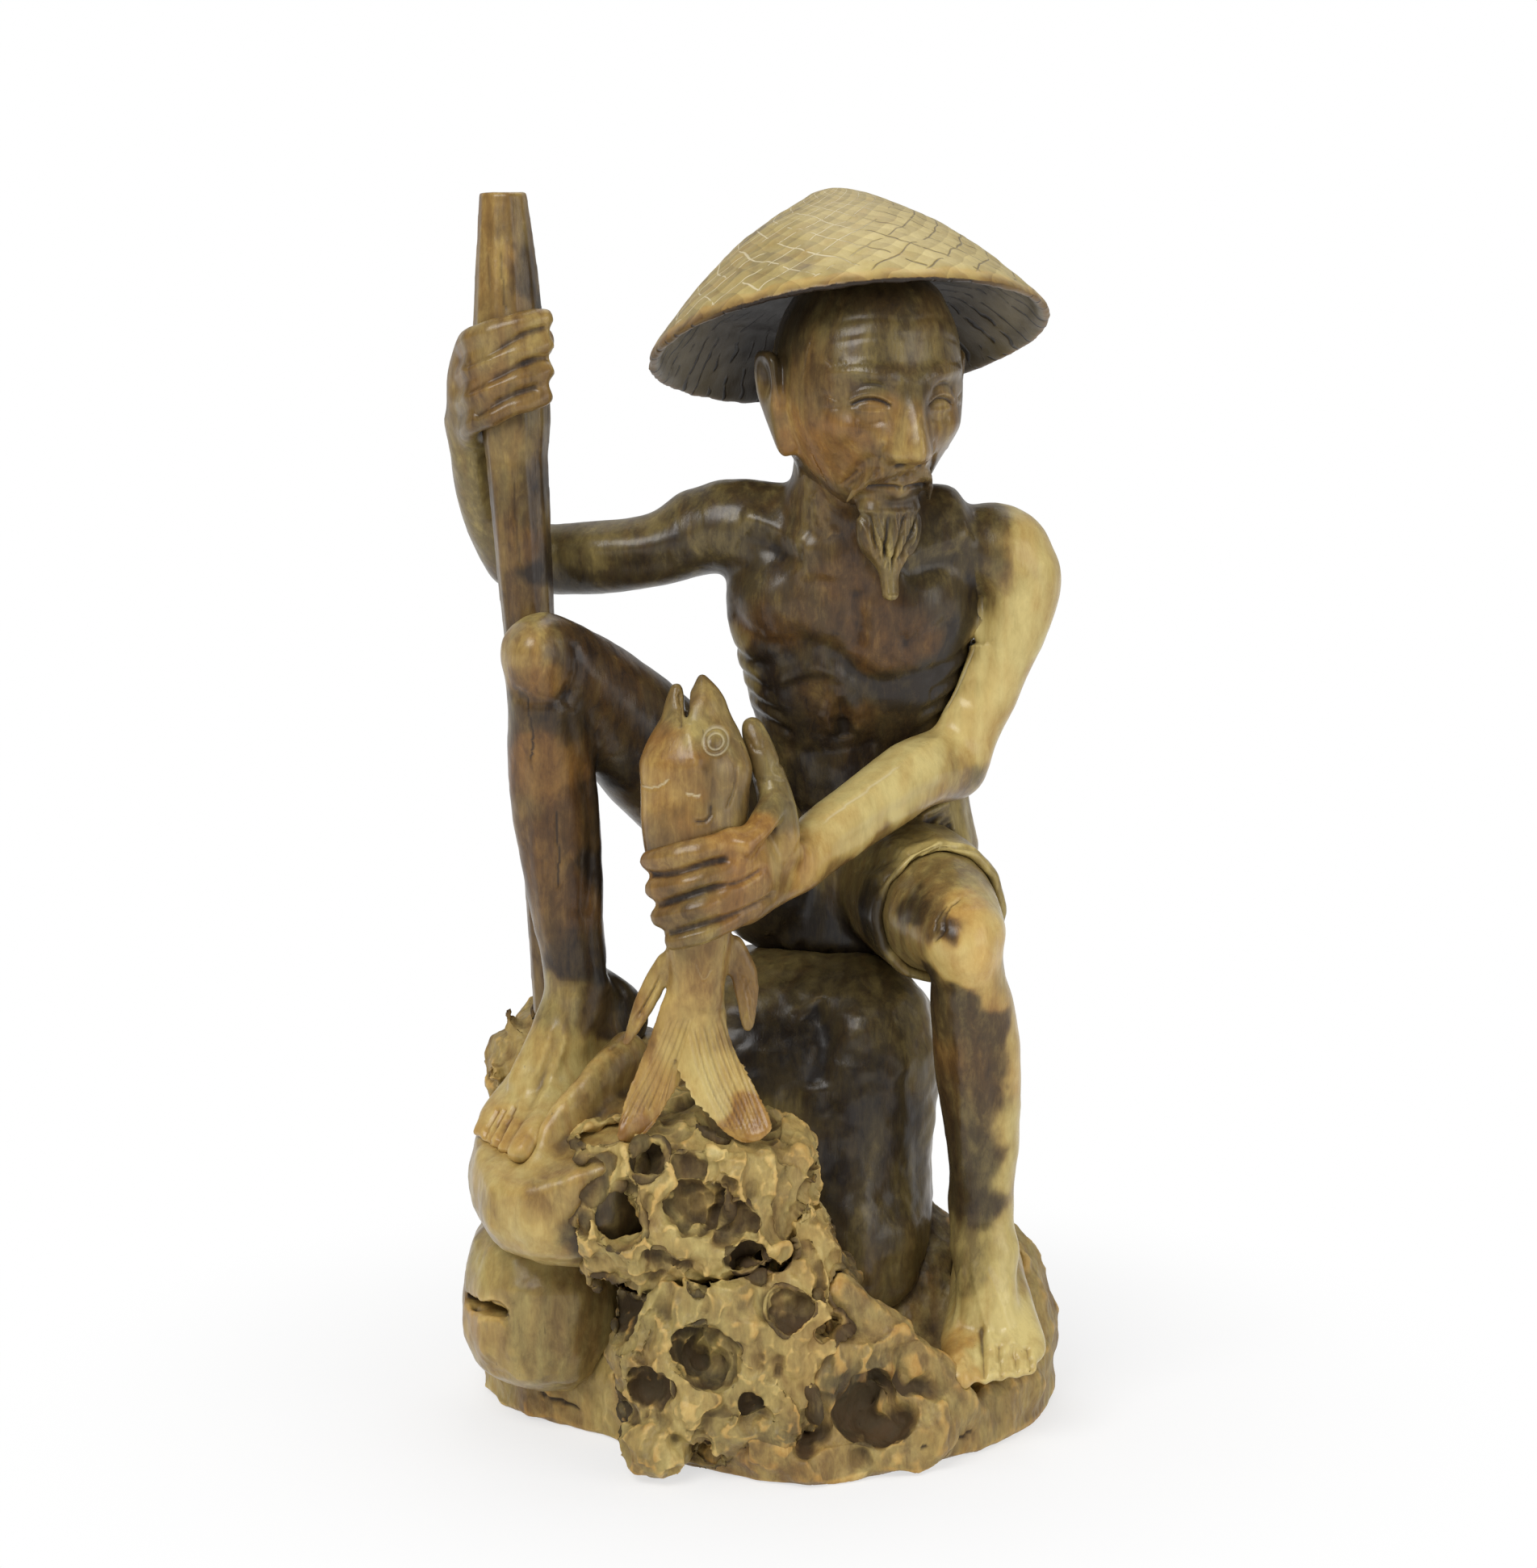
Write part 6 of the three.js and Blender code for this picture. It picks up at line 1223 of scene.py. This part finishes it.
rocks = [
    {"name": "base_rock", "nodes": ["rock_base"], "slot": "rock_wood", "material": stone,
     "voxel": 1.45, "rounding": 2.2, "undulation": 0.6, "rough": 0.2, "bend": 0.8, "hollowTimes": 110,
     "rugged": [((42, -94, 34), 24, 2.6), ((-8, -112, 14), 20, 1.5)],
     "strokes": [groove(0.9, 1.4, (-90, -38, 15), (-86, -41, 12), (-73, -50, 9), mark=-0.9),
                 groove(0.8, 1.2, (-60, -80, 10), (-48, -92, 9), (-34, -100, 12), mark=-0.8),
                 groove(0.8, 1.0, (60, -92, 12), (74, -84, 9), (88, -72, 10), mark=-0.8)],
     "tones": [(-80, -15, 35, 30, 0.3, 0.3), (-90, -40, 12, 14, 0.48, 0.5), (-40, -95, 8, 14, 0.45, 0.5),
               (0, -105, 5, 24, 0.45, 0.4), (60, -95, 8, 24, 0.4, 0.3), (60, -50, 40, 24, 0.42, 0.3),
               (30, -70, 30, 18, 0.4, 0.3), (100, -40, 10, 24, 0.4, 0.3), (50, -10, 70, 20, 0.7, 0.1),
               # the dark tones at (42, -92, 33) and (34, -98, 36) are painted shade in the bowl of the pit
               (42, -92, 33, 10, 0.8, 0.1), (34, -98, 36, 8, 0.75, 0.1), (0, 90, 20, 60, 0.4, 0.2)]},
    {"name": "seat_rock", "nodes": ["seat_boulder"], "slot": "dark_heartwood", "material": polishedStone,
     "voxel": 1.35, "rounding": 5.7, "undulation": 1.0,
     "strokes": [groove(6, 2.2, (20, -21, 174), (26, -30, 159), (23, -33, 139))],
     "tones": [(27, -20, 176, 12, 0.68, 0), (48, -24, 173, 12, 0.74, 0), (20, -29, 159, 12, 0.9, 0),
               (40, -35, 140, 14, 0.93, 0), (56, -32, 146, 8, 0.78, 0), (60, -30, 122, 9, 0.85, 0),
               (7, -29, 155, 12, 0.97, 0), (33, -37, 106, 14, 0.9, 0), (61, -27, 104, 8, 0.7, 0),
               (46, -38, 93, 10, 0.76, 0), (20, 5, 186, 16, 0.6, 0.1), (30, 60, 120, 60, 0.6, 0.1)]},
    {"name": "foot_rock", "nodes": ["foot_boulder"], "slot": "rock_wood", "material": polishedStone,
     "voxel": 1.2, "rounding": 3.9, "undulation": 0.8,
     "strokes": [ridge(4, 1.8, (-55, -59, 165), (-70, -73, 153), (-83, -81, 140), (-94, -79, 125)),
                 groove(3, 2.0, (-68, -40, 158), (-79, -50, 147), (-91, -68, 134))],
     "tones": [(-95, -90, 125, 25, 0.2, 0.4), (-70, -95, 140, 20, 0.36, 0.5), (-60, -70, 155, 20, 0.5, 0.4),
               (-80, -104, 119, 9, 0.5, 0.4), (-100, -80, 106, 12, 0.45, 0.3), (-70, -40, 130, 40, 0.5, 0.2),
               (-56, -104, 109, 9, 0.8, 0.1), (-63, -104, 99, 9, 0.8, 0.1), (-52, -89, 88, 12, 0.8, 0.1)]},
    {"name": "low_rock", "nodes": ["low_boulder"], "slot": "rock_wood", "material": polishedStone,
     "voxel": 1.2, "rounding": 2.4, "undulation": 0.6, "rough": 0.12,
     "strokes": [groove(1.8, 3.0, (-118, -41, 52), (-108, -59, 56), (-100, -66, 53), mark=-0.7)],
     "tones": [(-100, -60, 70, 16, 0.26, 0.1), (-112, -58, 50, 12, 0.26, 0.6), (-96, -66, 50, 12, 0.46, 0.2),
               (-105, -55, 35, 12, 0.32, 0.3), (-80, -30, 60, 30, 0.42, 0.2)]},
    {"name": "staff_rock", "nodes": ["staff_outcrop"], "slot": "rock_wood", "material": stone,
     "voxel": 1.0, "rounding": 1.4, "undulation": 0.4, "rough": 0.6, "bend": 1.0, "hollowTimes": 120,
     "tones": [(-100, -18, 160, 20, 0.32, 0.3), (-105, -14, 148, 16, 0.3, 0.4),
               (-90, 10, 150, 30, 0.5, 0.2)]},
    {"name": "upper_rock", "nodes": ["upper_outcrop"], "slot": "rock_wood", "material": stone,
     "voxel": 1.05, "rounding": 2.0, "undulation": 0.4, "rough": 0.85, "bend": 1.0, "hollowTimes": 160,
     "tones": [(-30, -97, 120, 40, 0.28, 0.2), (-60, -99, 95, 25, 0.34, 0.2), (5, -97, 115, 20, 0.36, 0.3),
               (-30, -60, 100, 30, 0.6, 0.1)]},
    {"name": "lower_rock", "nodes": ["lower_outcrop"], "slot": "rock_wood", "material": stone,
     "voxel": 1.05, "rounding": 2.0, "undulation": 0.4, "rough": 0.85, "bend": 1.0, "hollowTimes": 160,
     "tones": [(15, -100, 85, 20, 0.2, 0.3), (-20, -105, 60, 25, 0.34, 0.1), (20, -104, 55, 20, 0.26, 0.4),
               (-30, -108, 30, 20, 0.34, 0.2), (0, -60, 50, 40, 0.6, 0.1)]},
]
for rock in rocks:
    carvePiece(rock, rockWork(rock) if "rough" in rock else None)

# Floor, light and camera
stageSettings = {
    "floorSize": 8, "floorHeight": -0.0004, "floorColor": (0.95, 0.95, 0.95, 1), "white": (1, 1, 1, 1),
    "shadowShare": 0.35, "shadowEnds": (0.10, 0.34),
    "ambient": 0.42, "frontGloss": 0.07, "backGloss": 0.55, "glossTurn": (-0.1, 0.6),
}
# Each lamp: its place, what it points at, its size and its power
lamps = {
    "key": ((-0.55, -1.15, 1.25), (0, 0, 0.28), (0.9, 0.7), 15.5),
    "fill": ((1.2, -0.9, 0.6), (0, 0, 0.25), (0.9, 0.9), 6),
    "top": ((0.15, 0.5, 1.5), (0, 0, 0.3), (1.0, 1.0), 4.5),
}
photoCamera = {"place": (0.004, -1.4, 0.48), "down": 8.91, "sensor": 19.42, "lens": 42.614,
               "clipStart": 0.01, "clipEnd": 30}

bpy.ops.mesh.primitive_plane_add(size=stageSettings["floorSize"],
                                 location=(0, 0, stageSettings["floorHeight"]))
floor = bpy.context.active_object
floor.name = "floor"
f = Shader(bpy.data.materials.new("pale_floor"))
ray = f.add("ShaderNodeLightPath")
plainFloor = f.add("ShaderNodeBsdfDiffuse", {}, {"Color": stageSettings["floorColor"]})
whiteFloor = f.add("ShaderNodeEmission", {}, {"Color": stageSettings["white"], "Strength": 1.0})
seen = (ray + ray.output("Is Glossy Ray") + ray.output("Is Transmission Ray")).clamped()
# the shadow stays near the base and the floor goes white further out
away = f.add("ShaderNodeVectorMath", {"operation": "LENGTH"}, {0: f.objectPlace()}, output=1)
kept = 1 - away.between(*stageSettings["shadowEnds"])
whiteShare = seen * (1 - kept * stageSettings["shadowShare"])
floorMix = f.add("ShaderNodeMixShader", {}, {0: whiteShare, 1: plainFloor, 2: whiteFloor})
f.add("ShaderNodeOutputMaterial", {}, {"Surface": floorMix})
floor.data.materials.append(f.owner)

# A white world, in which the wax mirrors more light from behind the figure than from before it
w = Shader(bpy.data.worlds.new("studio"))
bpy.context.scene.world = w.owner
path = w.add("ShaderNodeLightPath")
direction = w.add("ShaderNodeTexCoord", output=0)
depthwards = w.add("ShaderNodeSeparateXYZ", {}, {0: direction}, output=1)
behind = depthwards.between(*stageSettings["glossTurn"])
gloss = behind * (stageSettings["backGloss"] - stageSettings["frontGloss"]) + stageSettings["frontGloss"]
strength = (path.output("Is Camera Ray") + path.output("Is Transmission Ray")
            + path.output("Is Glossy Ray") * gloss + path.output("Is Diffuse Ray") * stageSettings["ambient"])
background = w.add("ShaderNodeBackground", {}, {"Color": stageSettings["white"], "Strength": strength})
w.add("ShaderNodeOutputWorld", {}, {"Surface": background})

for name, (place, target, size, power) in lamps.items():
    bpy.ops.object.light_add(type="AREA", location=place)
    lamp = bpy.context.active_object
    lamp.name = name
    lamp.data.shape = "RECTANGLE"
    lamp.data.size, lamp.data.size_y = size
    lamp.data.energy = power
    lamp.rotation_euler = (Vector(target) - Vector(place)).to_track_quat("-Z", "Y").to_euler()

bpy.ops.object.camera_add(location=photoCamera["place"],
                          rotation=(math.radians(90 - photoCamera["down"]), 0, 0))
view = bpy.context.active_object
view.name = "photo_camera"
view.data.sensor_fit = "VERTICAL"
view.data.sensor_width = view.data.sensor_height = photoCamera["sensor"]
view.data.lens = photoCamera["lens"]
view.data.clip_start = photoCamera["clipStart"]
view.data.clip_end = photoCamera["clipEnd"]
bpy.context.scene.camera = view
bpy.context.scene.view_settings.view_transform = "Standard"
print("floor, light and camera set")

bpy.context.view_layer.update()
